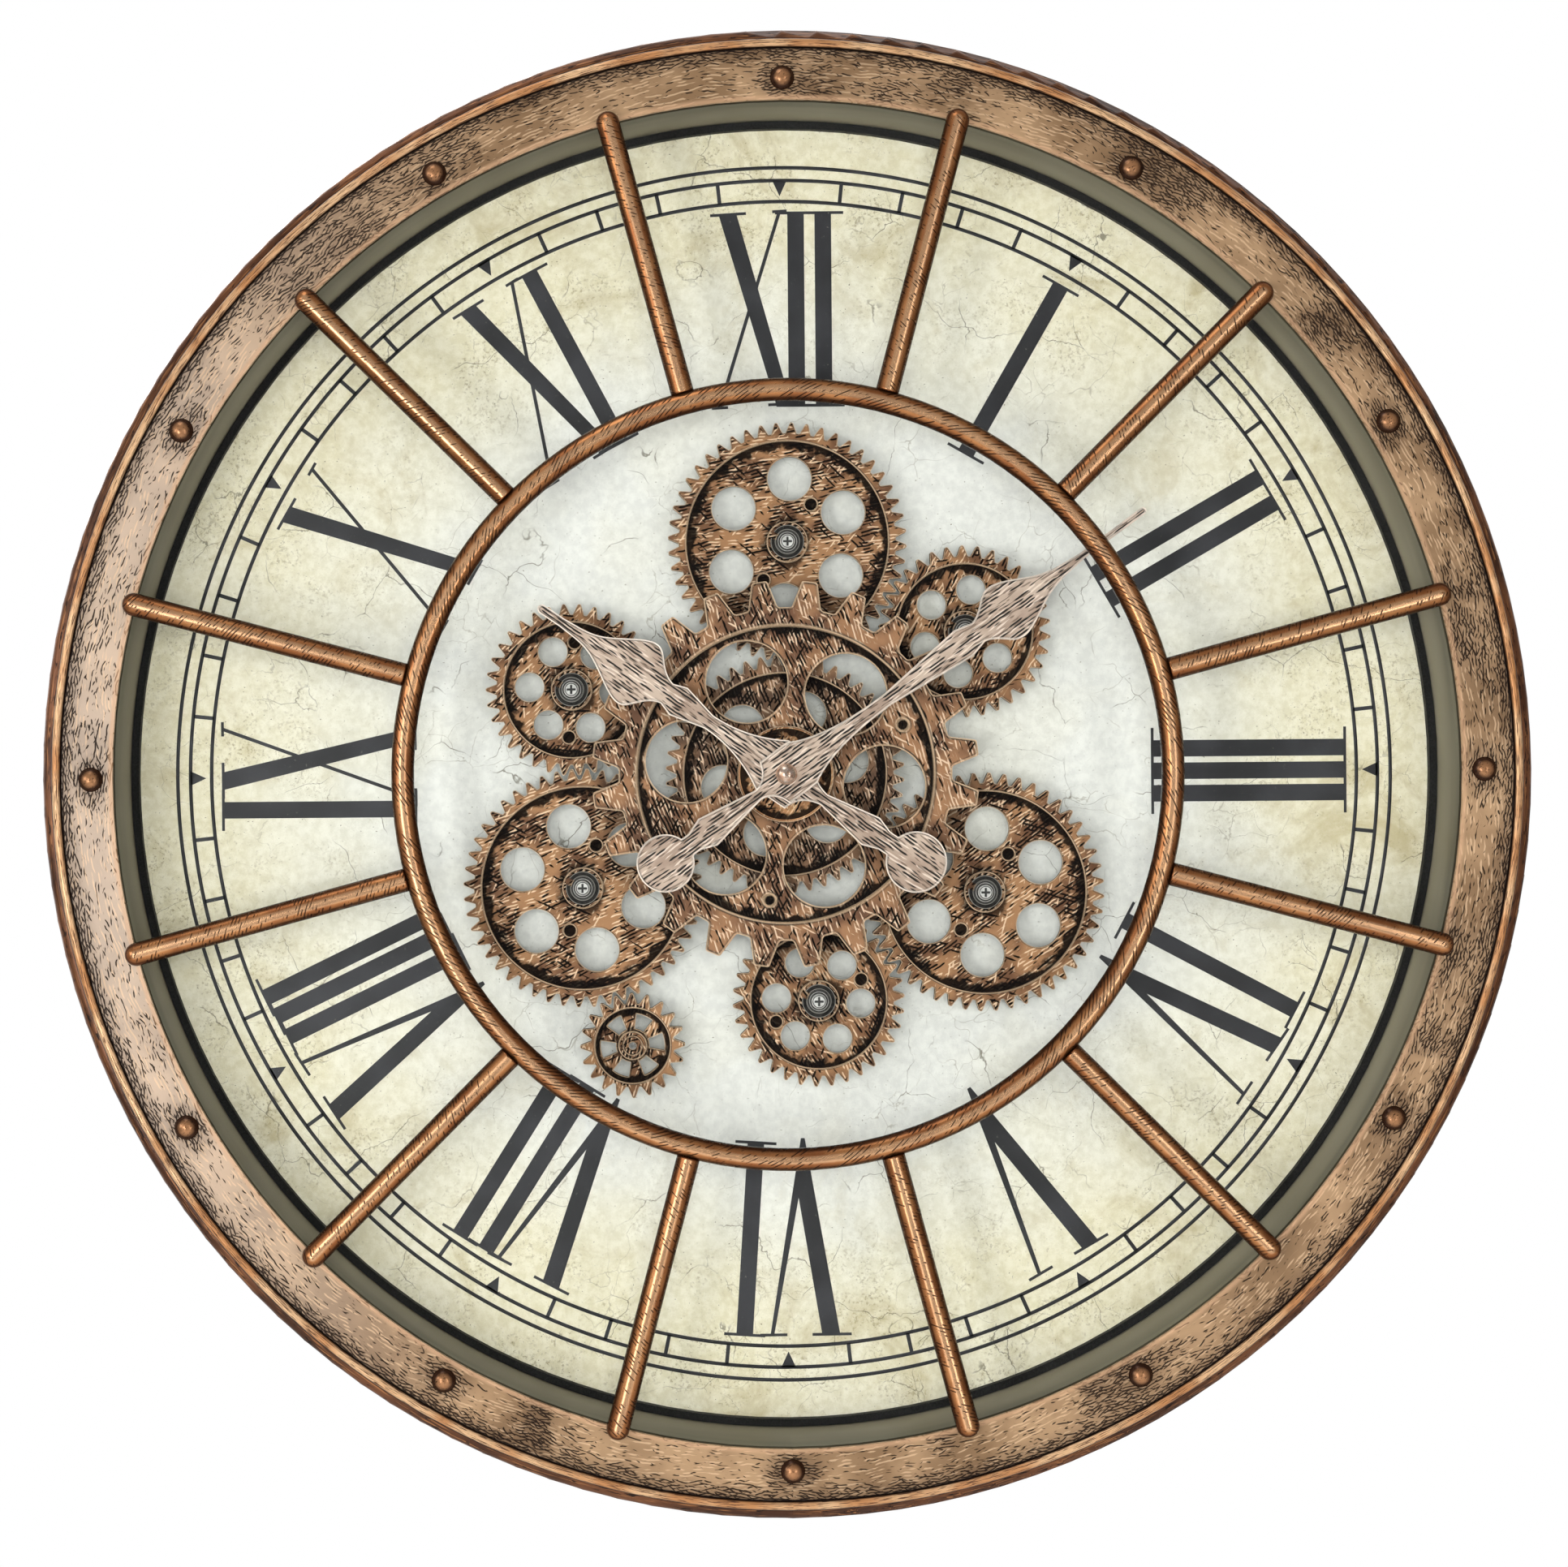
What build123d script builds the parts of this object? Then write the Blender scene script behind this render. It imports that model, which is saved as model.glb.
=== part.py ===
"""Wall clock with moving gears: a steel case, a grille over the glass and a gear train on the dial.

Every piece is drawn in the clock's own space and placed once, at the end:
X to the right, Y up the dial, Z towards the viewer, with Z = 0 on the wall ("depth").
Bearings are degrees clockwise from twelve o'clock, as the viewer sees them. Lengths are millimetres.
The finished part hangs on its hanger hole: there the origin is, with +Z up and the dial facing -Y.
"""
from build123d import *
from math import cos, hypot, pi, radians, sin, sqrt
import os

# ---------------------------------------------------------------- case
CASE_RADIUS = 305.0              # outside of the side band
BAND_SHEET = 1.5                 # steel sheet of the band
BAND_SHOULDER = 4.0              # outer bend at the front of the band
FRONT_DEPTH = 75.0               # wall to the front of the bezel plate
BEZEL_SHEET = 2.1                # steel sheet with its coat of hammered paint
BEZEL_WIDTH = 29.4               # side band to the opening that shows the dial
BEAD_RADIUS = 1.9                # rod round the edge of the bezel plate
BEAD_INSET = 6.4                 # outside of the side band to the middle of the bead
BEAD_SEAT = 0.3                  # flat filed on the bead where it is welded down
EDGE_GAP = 0.2                   # room between the bezel plate and the bead
RIVET_INSET = 8.8                # opening to the middle of a rivet
RIVET_HEAD = 5.0
RIVET_DOME = 3.0                 # height of the head
RIVET_SHANK = 1.75
RIVET_TAIL = 3.0
RIVET_TAIL_HEIGHT = 1.0
HOLE_PLAY = 0.05                 # round a rivet, screw or dowel in its hole
HOURS = 12

GLASS_LAP = 4.2                  # of the glass over the opening
GLASS_SHEET = 3.0
GLASS_EDGE_GAP = 0.7             # between the glass and the flange of the band
GASKET_SHEET = 0.8
GASKET_SET_BACK = 0.3            # the gasket stays this far behind the bezel's edge
LINER_SHEET = 1.5
LINER_LIP = 1.2                  # flange of the liner that presses on the glass

DIAL_RECESS = 46.0               # front of the bezel plate to the dial
DIAL_SHEET = 0.8
DIAL_EDGE_GAP = 0.3              # dial sheet to liner
BOARD_SHEET = 5.0
BOARD_EDGE_GAP = 0.5             # dial board to side band
SEAL_WIDTH = 3.2                 # black seal where the dial meets the liner
SEAL_HEIGHT = 4.0

# ---------------------------------------------------------------- grille
GRILLE_RING = 156.7              # centre circle of the inner ring
GRILLE_RING_ROD = 4.65           # radius of its rod
GRILLE_ROD = 4.75                # radius of the twelve rods
GRILLE_LIFT = 4.0                # bezel face to the axes of ring and rods
GRILLE_LAP = 4.0                 # of the rods over the bezel plate
GRILLE_ROD_START = 4.0           # ring's centre circle to the inner ends of the rods
GRILLE_END_ROUND = 0.8           # rounded rim of an inner end
GRILLE_SEAT_EXTRA = 0.6          # the filed flat starts this far inside the bezel's opening
COPE_GAP = 0.05                  # rod end to ring

# ---------------------------------------------------------------- hanging and board fixing
HANGER_HOLE = 4.5
HANGER_HOLE_DROP = 25.5          # inside of the band to the hanger hole
HANGER_SHEET = 2.0
HANGER_WIDTH = 40.0
HANGER_DROP = 41.0               # length of the plate below the band
HANGER_TAB = 14.0                # depth of the tab welded to the band
CLIP_COUNT = 8
CLIP_FIRST = 22.5
CLIP_SHEET = 1.5
CLIP_WIDTH = 18.0
CLIP_FOOT = 14.5                 # radial length under the board
CLIP_TAB = 12.0                  # depth of the tab welded to the band
WELD_GAP = 0.05                  # curved tab to curved band

# ---------------------------------------------------------------- gear train
MODULE = 2.0
MESH_SLACK = 1.2                 # play on every centre distance
GEAR_BACK = 9.0                  # all gear heights are measured from the dial
GEAR_WIDTH = 4.0
WEB_RECESS = 1.0                 # the web lies back from the rim on both faces
RIM_BAND = 3.0                   # rim between the tooth roots and the web
BIG_TEETH = 48
SMALL_TEETH = 34
PINION_TEETH = 20
TRAIN_TURN = 1.0                 # bearing of the top gear
BIG_GEARS = {"gear_top": 0.0, "gear_lower_right": 120.0, "gear_lower_left": 240.0}
SATELLITE_BEARING = 116.2        # small gear seen from its big gear, past the big gear's own bearing
SATELLITES = {"gear_upper_right": "gear_top", "gear_bottom": "gear_lower_right",
              "gear_upper_left": "gear_lower_left"}
PINION_DRIVES = "gear_lower_left"
PINION_BEARING = 281.9           # pinion seen from the gear it drives, past that gear's own bearing
HOLE_COUNT = 6
BIG_HOLE, BIG_HOLE_CIRCLE = 9.2, 26.5
BIG_DOT_CIRCLE = 18.7
SMALL_HOLE, SMALL_HOLE_CIRCLE = 6.1, 17.7
SMALL_DOT_CIRCLE = 19.9
DOT_RADIUS = 2.8                 # blind dimples of the casting
DOT_DEPTH = 1.0
HOLE_BEARINGS = {"centre_gear_fine": 18.3, "gear_top": 4.1, "gear_lower_right": 3.6,
                 "gear_lower_left": -15.6, "gear_upper_right": 7.7, "gear_bottom": 35.9,
                 "gear_upper_left": -24.3}
GEAR_BOSS = 8.4                  # radius of the raised hub on each outer gear
BOSS_RISE = 0.4                  # hub above the rim

COARSE_TEETH = 24
COARSE_TIP = 80.7
COARSE_ROOT = 69.4
COARSE_TIP_HALF = 3.2            # half the width of a tooth at its tip
COARSE_ROOT_HALF = 6.2
COARSE_TIP_ROUND = 1.1
COARSE_ROOT_ROUND = 1.6
COARSE_BACK = 17.0
COARSE_RIM_INNER = 62.1
COARSE_HOLE, COARSE_HOLE_CIRCLE = 17.0, 41.6
COARSE_DOT_CIRCLE = 53.0
COARSE_BEARING = 37.6
DISC_RADIUS = 20.0               # disc on the front of the centre hub
DISC_SHEET = 1.4

PINION_HUB = 4.0
PINION_WINDOW_IN = 7.0
PINION_WINDOW_OUT = 13.4
PINION_WINDOW_SPAN = 32.0        # degrees
PINION_RIM_INNER = 15.9
PINION_BORE = 1.5
PINION_HUB_REACH = 3.0           # hub behind the gear
SHAFT_TIP = 0.8                  # drive shaft in front of the pinion

POST_JOURNAL = 4.75
POST_BASE = 7.5
POST_TOP = 15.2
POST_SHOULDER = 8.4
SCREW_HEAD = 3.15
SCREW_HEAD_HEIGHT = 2.0
SCREW_SHANK = 1.5
SCREW_BITE = 4.5                 # length in the dial board
CLIP_RING = 7.0                  # retaining clip
CLIP_RING_SHEET = 1.0
CLIP_GROOVE = 3.9
CLIP_MOUTH = 3.0
RUN_GAP = 0.05                   # radial running clearance of every shaft and journal
END_GAP = 0.1                    # end float

BEARING_BORE = 5.15              # centre bearing over the threaded stem
BEARING_JOURNAL = 8.0
BEARING_FLANGE = 17.0
BEARING_FLANGE_SHEET = 2.0
BEARING_TOP = 22.5
HUB_RADIUS = 11.0
HUB_COLLAR = 14.0
WASHER_RADIUS = 10.5
WASHER_SHEET = 0.8
NUT_FLATS = 14.0
NUT_HEIGHT = 2.7
STEM_RADIUS = 5.0                # threaded stem of the movement
STEM_TOP = 26.4
PRESS_GAP = 0.02                 # pieces pressed or glued together

# ---------------------------------------------------------------- hands
REST_HOUR = 10.0
REST_MINUTE = 9.0
HAND_SHEET = 1.5
HOUR_HAND_BACK = 27.0            # above the dial
MINUTE_HAND_BACK = 30.0
HAND_NUT_RADIUS = 4.4
HAND_NUT_HEIGHT = 3.4
# half widths and stations along a hand, both from its axis of rotation
MINUTE_HAND = dict(tip=184.4, bar=1.45, bar_at=152.0, taper=5.2, taper_at=131.0, leaf=12.0, leaf_at=110.0,
                   waist=4.7, waist_at=98.5, collar=6.6, collar_at=91.0, neck=2.7, neck_at=52.0,
                   flare=5.6, flare_at=21.0, hub=10.6, hub_front=8.0, hub_back=-6.0,
                   tail_neck=2.3, tail_neck_at=-14.5, tail_collar=6.8, tail_collar_at=-40.3,
                   notch=4.2, notch_at=-47.0, lobe=12.0, lobe_at=-62.0)
HOUR_HAND = dict(tip=123.9, bar=1.9, bar_at=112.0, taper=4.4, taper_at=95.5, leaf=14.2, leaf_at=72.0,
                 waist=4.8, waist_at=59.5, collar=6.8, collar_at=53.8, neck=3.2, neck_at=38.5,
                 flare=6.0, flare_at=20.5, hub=12.2, hub_front=7.0, hub_back=-7.5,
                 tail_neck=2.6, tail_neck_at=-19.0, tail_collar=6.8, tail_collar_at=-42.2,
                 notch=4.4, notch_at=-49.0, lobe=12.7, lobe_at=-65.0)

# ---------------------------------------------------------------- quartz movement
MOVEMENT_SIZE = 56.0
MOVEMENT_DEPTH = 16.15
SHELL_WALL = 1.5
BOARD_TOUCH = 0.05               # housings to the back of the dial board
HOUR_TUBE = 3.0                  # outer radius
MINUTE_ARBOR = 1.6
ARBOR_SEAT = 1.3                 # the arbor's reduced end in the minute hand
PIVOT = 0.5                      # radius of the fine arbors
PIVOT_DEPTH = 1.2                # pivots reach this far into the bosses
STUD_REACH = 1.2                 # stud of the intermediate wheel, past its pinion's middle
BOSS = 1.6                       # radius of the bearing bosses in the shells
BOSS_HEIGHT = 0.4
HOUR_MODULE, HOUR_TEETH, MINUTE_PINION_TEETH = 0.4, 40, 10
MOTION_MODULE, MINUTE_WHEEL_TEETH, CANNON_TEETH = 0.5, 30, 10
FAST_MODULE = 0.28
CENTRE_TEETH, THIRD_PINION_TEETH = 60, 8
THIRD_TEETH, SECONDS_PINION_TEETH = 64, 8
SECONDS_TEETH, INTERMEDIATE_PINION_TEETH = 50, 8
INTERMEDIATE_TEETH, ROTOR_TEETH = 48, 10
MINUTE_WHEEL_BEARING = 265.0
THIRD_BEARING = 70.0
INTERMEDIATE_BEARING = 350.0
ROTOR_BEARING = 30.0             # seen from the intermediate wheel
WHEEL_SHEET = 1.0
PINION_SHEET = 1.4
HOUR_WHEEL_HEIGHT = 12.7         # mid planes, from the back of the movement
MINUTE_WHEEL_HEIGHT = 11.0
CENTRE_WHEEL_HEIGHT = 9.2
THIRD_WHEEL_HEIGHT = 6.7
SECONDS_WHEEL_HEIGHT = 4.6
INTERMEDIATE_WHEEL_HEIGHT = 2.75
ROTOR_MAGNET = 2.2
ROTOR_MAGNET_SPAN = 2.4          # along its arbor
ROTOR_MAGNET_HEIGHT = 4.2        # heights of the back faces, from the back of the movement
STATOR_HEIGHT = 4.8
CIRCUIT_BOARD_HEIGHT = 10.0
STATOR_SHEET = 1.2
STATOR_SPAN = 34.0
STATOR_GAP = 0.6                 # air gap round the rotor
STATOR_RING = 4.0
COIL_RADIUS = 2.6
COIL_LENGTH = 20.0
COIL_CORE = 1.2
COIL_RISE = 23.0                 # above the movement's axis
KNOB_RADIUS = 6.0
KNOB_HEIGHT = 3.4
KNOB_RIBS = 16
CELL_RADIUS = 7.1                # AA cell
CELL_LENGTH = 49.2
CELL_NUB = 2.75
CELL_NUB_HEIGHT = 1.3
CELL_PLAY = 0.3
CONTACT_SHEET = 0.6
MOVEMENT_CELL_DROP = 19.3        # below the movement's axis
CIRCUIT_WIDTH = 11.0
CIRCUIT_HEIGHT = 15.0
CIRCUIT_SHEET = 1.0
CIRCUIT_CENTRE = (20.0, 17.0)    # from the movement's axis
PILLAR = 1.0                     # radius of the pillars that carry the board

# ---------------------------------------------------------------- gear drive
DRIVE_WIDTH = 62.0
DRIVE_RISE = 20.0                # housing above the pinion's axis
DRIVE_DROP = 51.0
DRIVE_DEPTH = 19.15
DRIVE_WALL = 1.6
DRIVE_MOTOR = 15.0
DRIVE_MOTOR_HEIGHT = 14.0
DRIVE_CELL_PITCH = 15.4
DRIVE_CELL_DROP = 27.0           # first cell below the pinion's axis
DRIVE_SHAFT = 1.5
SWITCH_TRAVEL = 4.0
SWITCH_SLOT = 3.0
SWITCH_KNOB = 4.0
SWITCH_RISE = 8.0                # knob's middle above the pinion's axis
EAR = 8.0                        # fixing lugs of the housing
EAR_SHEET = 2.0

# ---------------------------------------------------------------- worked out from the above
BAND_FRONT = FRONT_DEPTH - BEZEL_SHEET
FLANGE_BACK = BAND_FRONT - BAND_SHEET
BAND_BORE = CASE_RADIUS - BAND_SHEET
BEZEL_INNER = CASE_RADIUS - BEZEL_WIDTH
BEAD_CIRCLE = CASE_RADIUS - BEAD_INSET
RIVET_CIRCLE = BEZEL_INNER + RIVET_INSET
GLASS_RADIUS = BEZEL_INNER + GLASS_LAP
GRILLE_REACH = BEZEL_INNER + GRILLE_LAP
HANGER_HOLE_RISE = BAND_BORE - HANGER_HOLE_DROP
GLASS_FRONT = BAND_FRONT - GASKET_SHEET
GLASS_BACK = GLASS_FRONT - GLASS_SHEET
DIAL = FRONT_DEPTH - DIAL_RECESS
BOARD_FRONT = DIAL - DIAL_SHEET
BOARD_BACK = BOARD_FRONT - BOARD_SHEET
LINER_OUTER = BEZEL_INNER + LINER_SHEET
GRILLE_DEPTH = FRONT_DEPTH + GRILLE_LIFT
GEAR_FRONT = GEAR_BACK + GEAR_WIDTH
COARSE_FRONT = COARSE_BACK + GEAR_WIDTH
HUB_BACK = BEARING_FLANGE_SHEET + 2 * END_GAP
MOVEMENT_FRONT = BOARD_BACK - BOARD_TOUCH
MOVEMENT_BACK = MOVEMENT_FRONT - MOVEMENT_DEPTH
DRIVE_BACK = MOVEMENT_FRONT - DRIVE_DEPTH
HOUR_WHEEL_DEPTH = MOVEMENT_BACK + HOUR_WHEEL_HEIGHT
MINUTE_WHEEL_DEPTH = MOVEMENT_BACK + MINUTE_WHEEL_HEIGHT
CENTRE_WHEEL_DEPTH = MOVEMENT_BACK + CENTRE_WHEEL_HEIGHT
THIRD_WHEEL_DEPTH = MOVEMENT_BACK + THIRD_WHEEL_HEIGHT
SECONDS_WHEEL_DEPTH = MOVEMENT_BACK + SECONDS_WHEEL_HEIGHT
INTERMEDIATE_WHEEL_DEPTH = MOVEMENT_BACK + INTERMEDIATE_WHEEL_HEIGHT
ROTOR_MAGNET_BACK = MOVEMENT_BACK + ROTOR_MAGNET_HEIGHT
STATOR_BACK = MOVEMENT_BACK + STATOR_HEIGHT
CIRCUIT_BACK = MOVEMENT_BACK + CIRCUIT_BOARD_HEIGHT
HALF_TURN = 180.0
MINUTE_HAND_BEARING = 6.0 * REST_MINUTE
HOUR_HAND_BEARING = 30.0 * REST_HOUR + 0.5 * REST_MINUTE


# ---------------------------------------------------------------- helpers
def at(radius, bearing, origin=(0.0, 0.0)):
    """Point at a radius and a clockwise bearing from a point of the dial."""
    turn = radians(bearing)
    return origin[0] + radius * sin(turn), origin[1] + radius * cos(turn)


def disc(radius, back, front, centre=(0.0, 0.0)):
    """Cylinder about an axis that points at the viewer, between two depths."""
    blank = Cylinder(radius, front - back, align=(Align.CENTER, Align.CENTER, Align.MIN))
    return Pos(centre[0], centre[1], back) * blank


def ring(outer, inner, back, front, centre=(0.0, 0.0)):
    """Flat ring or tube between two depths."""
    return disc(outer, back, front, centre) - disc(inner, back - 1, front + 1, centre)


def block(width, height, back, front, centre=(0.0, 0.0)):
    """Rectangular block between two depths."""
    blank = Box(width, height, front - back, align=(Align.CENTER, Align.CENTER, Align.MIN))
    return Pos(centre[0], centre[1], back) * blank


def turned(shape, bearing, centre=(0.0, 0.0)):
    """Shape turned clockwise on the spot, then moved to its centre."""
    return Pos(centre[0], centre[1], 0) * Rot(0, 0, -bearing) * shape


def spread(make, bearings):
    """The same solids at several bearings."""
    return Compound([solid for bearing in bearings for solid in turned(make, bearing).solids()])


def hour_bearings(first=0.0):
    return [first + 360.0 / HOURS * hour for hour in range(HOURS)]


def moved_group(make, centres):
    return Compound([solid for centre in centres for solid in (Pos(*centre, 0) * make).solids()])


# ---------------------------------------------------------------- case
def side_band():
    """Spun drum: a cylinder with a flange that carries the bezel and a rounded front shoulder."""
    outside = disc(CASE_RADIUS, 0, BAND_FRONT)
    outside = fillet(outside.edges().group_by(Axis.Z)[-1], BAND_SHOULDER)
    inside = disc(BAND_BORE, -BAND_SHEET, FLANGE_BACK)
    inside = fillet(inside.edges().group_by(Axis.Z)[-1], BAND_SHOULDER - BAND_SHEET)
    opening = disc(GLASS_RADIUS + GLASS_EDGE_GAP, FLANGE_BACK - 1, BAND_FRONT + 1)
    rivet_holes = spread(Pos(0, RIVET_CIRCLE, 0) * disc(RIVET_SHANK + HOLE_PLAY, FLANGE_BACK - 1,
                                                        BAND_FRONT + 1), hour_bearings())
    return outside - inside - opening - rivet_holes


def bezel_plate():
    plate = ring(BEAD_CIRCLE - BEAD_RADIUS - EDGE_GAP, BEZEL_INNER, BAND_FRONT, FRONT_DEPTH)
    rivet_holes = spread(Pos(0, RIVET_CIRCLE, 0) * disc(RIVET_SHANK + HOLE_PLAY, BAND_FRONT - 1,
                                                        FRONT_DEPTH + 1), hour_bearings())
    return plate - rivet_holes


def edge_bead():
    """Rod rolled into a hoop and welded to the band round the bezel plate."""
    rise = BEAD_RADIUS - BEAD_SEAT
    half_seat = sqrt(BEAD_RADIUS ** 2 - rise ** 2)
    left, right = (-half_seat, -rise), (half_seat, -rise)
    profile = make_face([ThreePointArc(left, (0, BEAD_RADIUS), right), Line(right, left)])
    profile = Plane.XZ * Pos(BEAD_CIRCLE, BAND_FRONT + rise) * profile
    return revolve(profile, Axis.Z)


def bezel_rivets():
    """Domed head, shank through bezel and band, and the closed tail behind."""
    dome_radius = (RIVET_HEAD ** 2 + RIVET_DOME ** 2) / (2 * RIVET_DOME)
    dome = Pos(0, 0, FRONT_DEPTH + RIVET_DOME - dome_radius) * Sphere(dome_radius)
    head = dome & disc(RIVET_HEAD, FRONT_DEPTH, FRONT_DEPTH + RIVET_DOME)
    shank = disc(RIVET_SHANK, FLANGE_BACK, FRONT_DEPTH)
    tail = disc(RIVET_TAIL, FLANGE_BACK - RIVET_TAIL_HEIGHT, FLANGE_BACK)
    return spread(Pos(0, RIVET_CIRCLE, 0) * (head + shank + tail), hour_bearings())


def glass():
    return disc(GLASS_RADIUS, GLASS_BACK, GLASS_FRONT)


def glass_gasket():
    return ring(GLASS_RADIUS, BEZEL_INNER + GASKET_SET_BACK, GLASS_FRONT, BAND_FRONT)


def spacer_liner():
    """The inner wall: it stands on the dial board and presses the glass forward."""
    wall = ring(LINER_OUTER, BEZEL_INNER, BOARD_FRONT, GLASS_BACK)
    lip = ring(GLASS_RADIUS, BEZEL_INNER, GLASS_BACK - LINER_LIP, GLASS_BACK)
    return wall + lip


def dial_edge_seal():
    outer = BEZEL_INNER - DIAL_EDGE_GAP
    return ring(outer, outer - SEAL_WIDTH, DIAL, DIAL + SEAL_HEIGHT)


def dial_holes(back, front):
    """Holes for the stem, the drive shaft and the post screws, through dial sheet and board."""
    holes = disc(STEM_RADIUS + HOLE_PLAY, back, front)
    holes += disc(DRIVE_SHAFT + 2 * HOLE_PLAY, back, front, centres["drive_pinion"])
    for name in post_gears:
        holes += disc(SCREW_SHANK + HOLE_PLAY, back, front, centres[name])
    return holes


def dial_sheet():
    return disc(BEZEL_INNER - DIAL_EDGE_GAP, BOARD_FRONT, DIAL) - dial_holes(BOARD_FRONT - 1, DIAL + 1)


def dial_board():
    board = disc(BAND_BORE - BOARD_EDGE_GAP, BOARD_BACK, BOARD_FRONT)
    screw_holes = spread(Pos(0, clip_screw_circle, 0) * disc(SCREW_SHANK + HOLE_PLAY, BOARD_BACK - 1,
                                                             BOARD_BACK + SCREW_BITE), clip_bearings)
    for ear in drive_ears:
        screw_holes += disc(SCREW_SHANK + HOLE_PLAY, BOARD_BACK - 1, BOARD_BACK + SCREW_BITE, ear)
    return board - dial_holes(BOARD_BACK - 1, BOARD_FRONT + 1) - screw_holes


def board_clips():
    """Angle clips spot-welded inside the band, which the dial board is screwed to."""
    tab = block(CLIP_WIDTH, CLIP_SHEET, BOARD_BACK - CLIP_TAB, BOARD_BACK,
                (0, BAND_BORE - CLIP_SHEET))
    foot = block(CLIP_WIDTH, CLIP_FOOT, BOARD_BACK - CLIP_SHEET, BOARD_BACK,
                 (0, BAND_BORE - CLIP_FOOT / 2 - CLIP_SHEET / 2))
    hole = disc(SCREW_SHANK + HOLE_PLAY, BOARD_BACK - 2 * CLIP_SHEET, BOARD_BACK + 1, (0, clip_screw_circle))
    clip = (tab + foot - hole) & disc(BAND_BORE - WELD_GAP, 0, BOARD_BACK)
    return spread(clip, clip_bearings)


def pan_screw(head_depth, tip_depth, centre=(0.0, 0.0), head_radius=SCREW_HEAD):
    """Cross-recessed pan head screw between its head's seat and its tip."""
    way = 1.0 if head_depth > tip_depth else -1.0
    head_top = head_depth + way * SCREW_HEAD_HEIGHT
    head = disc(head_radius, min(head_depth, head_top), max(head_depth, head_top))
    rim = head.edges().group_by(Axis.Z)[-1 if way > 0 else 0]
    head = fillet(rim, SCREW_HEAD_HEIGHT * 0.45)
    shank = disc(SCREW_SHANK, min(head_depth, tip_depth), max(head_depth, tip_depth))
    recess_floor = head_top - way * SCREW_HEAD_HEIGHT / 2
    low, high = min(head_top, recess_floor), max(head_top, recess_floor)
    slot = block(head_radius * 1.1, head_radius * 0.25, low, high)
    slot += block(head_radius * 0.25, head_radius * 1.1, low, high)
    return Pos(*centre, 0) * (head + shank - slot)


def board_screws():
    screw = pan_screw(BOARD_BACK - CLIP_SHEET, BOARD_BACK + SCREW_BITE - 1, (0, clip_screw_circle))
    return spread(screw, clip_bearings)


def hanger_plate():
    """Plate flush with the wall, welded to the band by its tab, with the hole it hangs on."""
    top = BAND_BORE
    plate = block(HANGER_WIDTH, HANGER_DROP, 0, HANGER_SHEET, (0, top - HANGER_DROP / 2))
    tab = block(HANGER_WIDTH, 2 * HANGER_SHEET, 0, HANGER_TAB, (0, top - HANGER_SHEET))
    hole = disc(HANGER_HOLE, -1, HANGER_SHEET + 1, (0, HANGER_HOLE_RISE))
    return ((plate + tab) & disc(BAND_BORE - WELD_GAP, 0, HANGER_TAB)) - hole


# ---------------------------------------------------------------- grille
def grille_ring():
    return Pos(0, 0, GRILLE_DEPTH) * Torus(GRILLE_RING, GRILLE_RING_ROD)


def grille_rods():
    """Rods coped to the ring, with round outer tips filed flat where they sit on the bezel."""
    start = GRILLE_RING + GRILLE_ROD_START
    rod = Cylinder(GRILLE_ROD, GRILLE_REACH - GRILLE_ROD - start, align=(Align.CENTER, Align.CENTER, Align.MIN))
    rod = fillet(rod.edges().group_by(Axis.Z)[0], GRILLE_END_ROUND)
    rod = Pos(0, start, GRILLE_DEPTH) * Rot(-90, 0, 0) * rod
    tip = Pos(0, GRILLE_REACH - GRILLE_ROD, GRILLE_DEPTH) * Sphere(GRILLE_ROD)
    seat_length = GRILLE_REACH - BEZEL_INNER + GRILLE_SEAT_EXTRA
    seat = block(4 * GRILLE_ROD, seat_length, FRONT_DEPTH - 2 * GRILLE_ROD, FRONT_DEPTH,
                 (0, GRILLE_REACH - seat_length / 2))
    cope = Pos(0, 0, GRILLE_DEPTH) * Torus(GRILLE_RING, GRILLE_RING_ROD + COPE_GAP)
    return spread(rod + tip - seat - cope, hour_bearings(360.0 / HOURS / 2))


# ---------------------------------------------------------------- gears
def toothed_face(teeth, root, tip, root_half, tip_half, pointed):
    """Outline of a gear with straight flanks; a pointed tooth ends in a small arc."""
    step = 360.0 / teeth
    edges = []
    for tooth in range(teeth):
        mid = step * tooth

        def corner(radius, offset):
            return at(radius, mid + offset / radius * HALF_TURN / pi)
        left, right = corner(root, -root_half), corner(root, root_half)
        if pointed:
            shoulder = tip - 0.6 * tip_half
            tip_left, tip_right = corner(shoulder, -tip_half), corner(shoulder, tip_half)
            edges.append(ThreePointArc(tip_left, corner(tip, 0), tip_right))
        else:
            tip_left, tip_right = corner(tip, -tip_half), corner(tip, tip_half)
            edges.append(Line(tip_left, tip_right))
        edges += [Line(left, tip_left), Line(tip_right, right)]
        next_left = at(root, mid + step - root_half / root * HALF_TURN / pi)
        edges.append(ThreePointArc(right, at(root, mid + step / 2), next_left))
    return make_face(edges)


def train_outline(teeth, module=MODULE, root_half=1.17, tip_half=0.38):
    """Clock gear teeth of a module; the half widths are given in modules."""
    return toothed_face(teeth, module * (teeth - 2.5) / 2, module * (teeth + 2) / 2,
                        root_half * module, tip_half * module, True)


def slab(face, back, front):
    return Pos(0, 0, back) * extrude(face, front - back)


def holes_at(radius, circle, bearings, back, front):
    holes = [disc(radius, back, front, at(circle, bearing)) for bearing in bearings]
    return Compound([solid for hole in holes for solid in hole.solids()])


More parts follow.
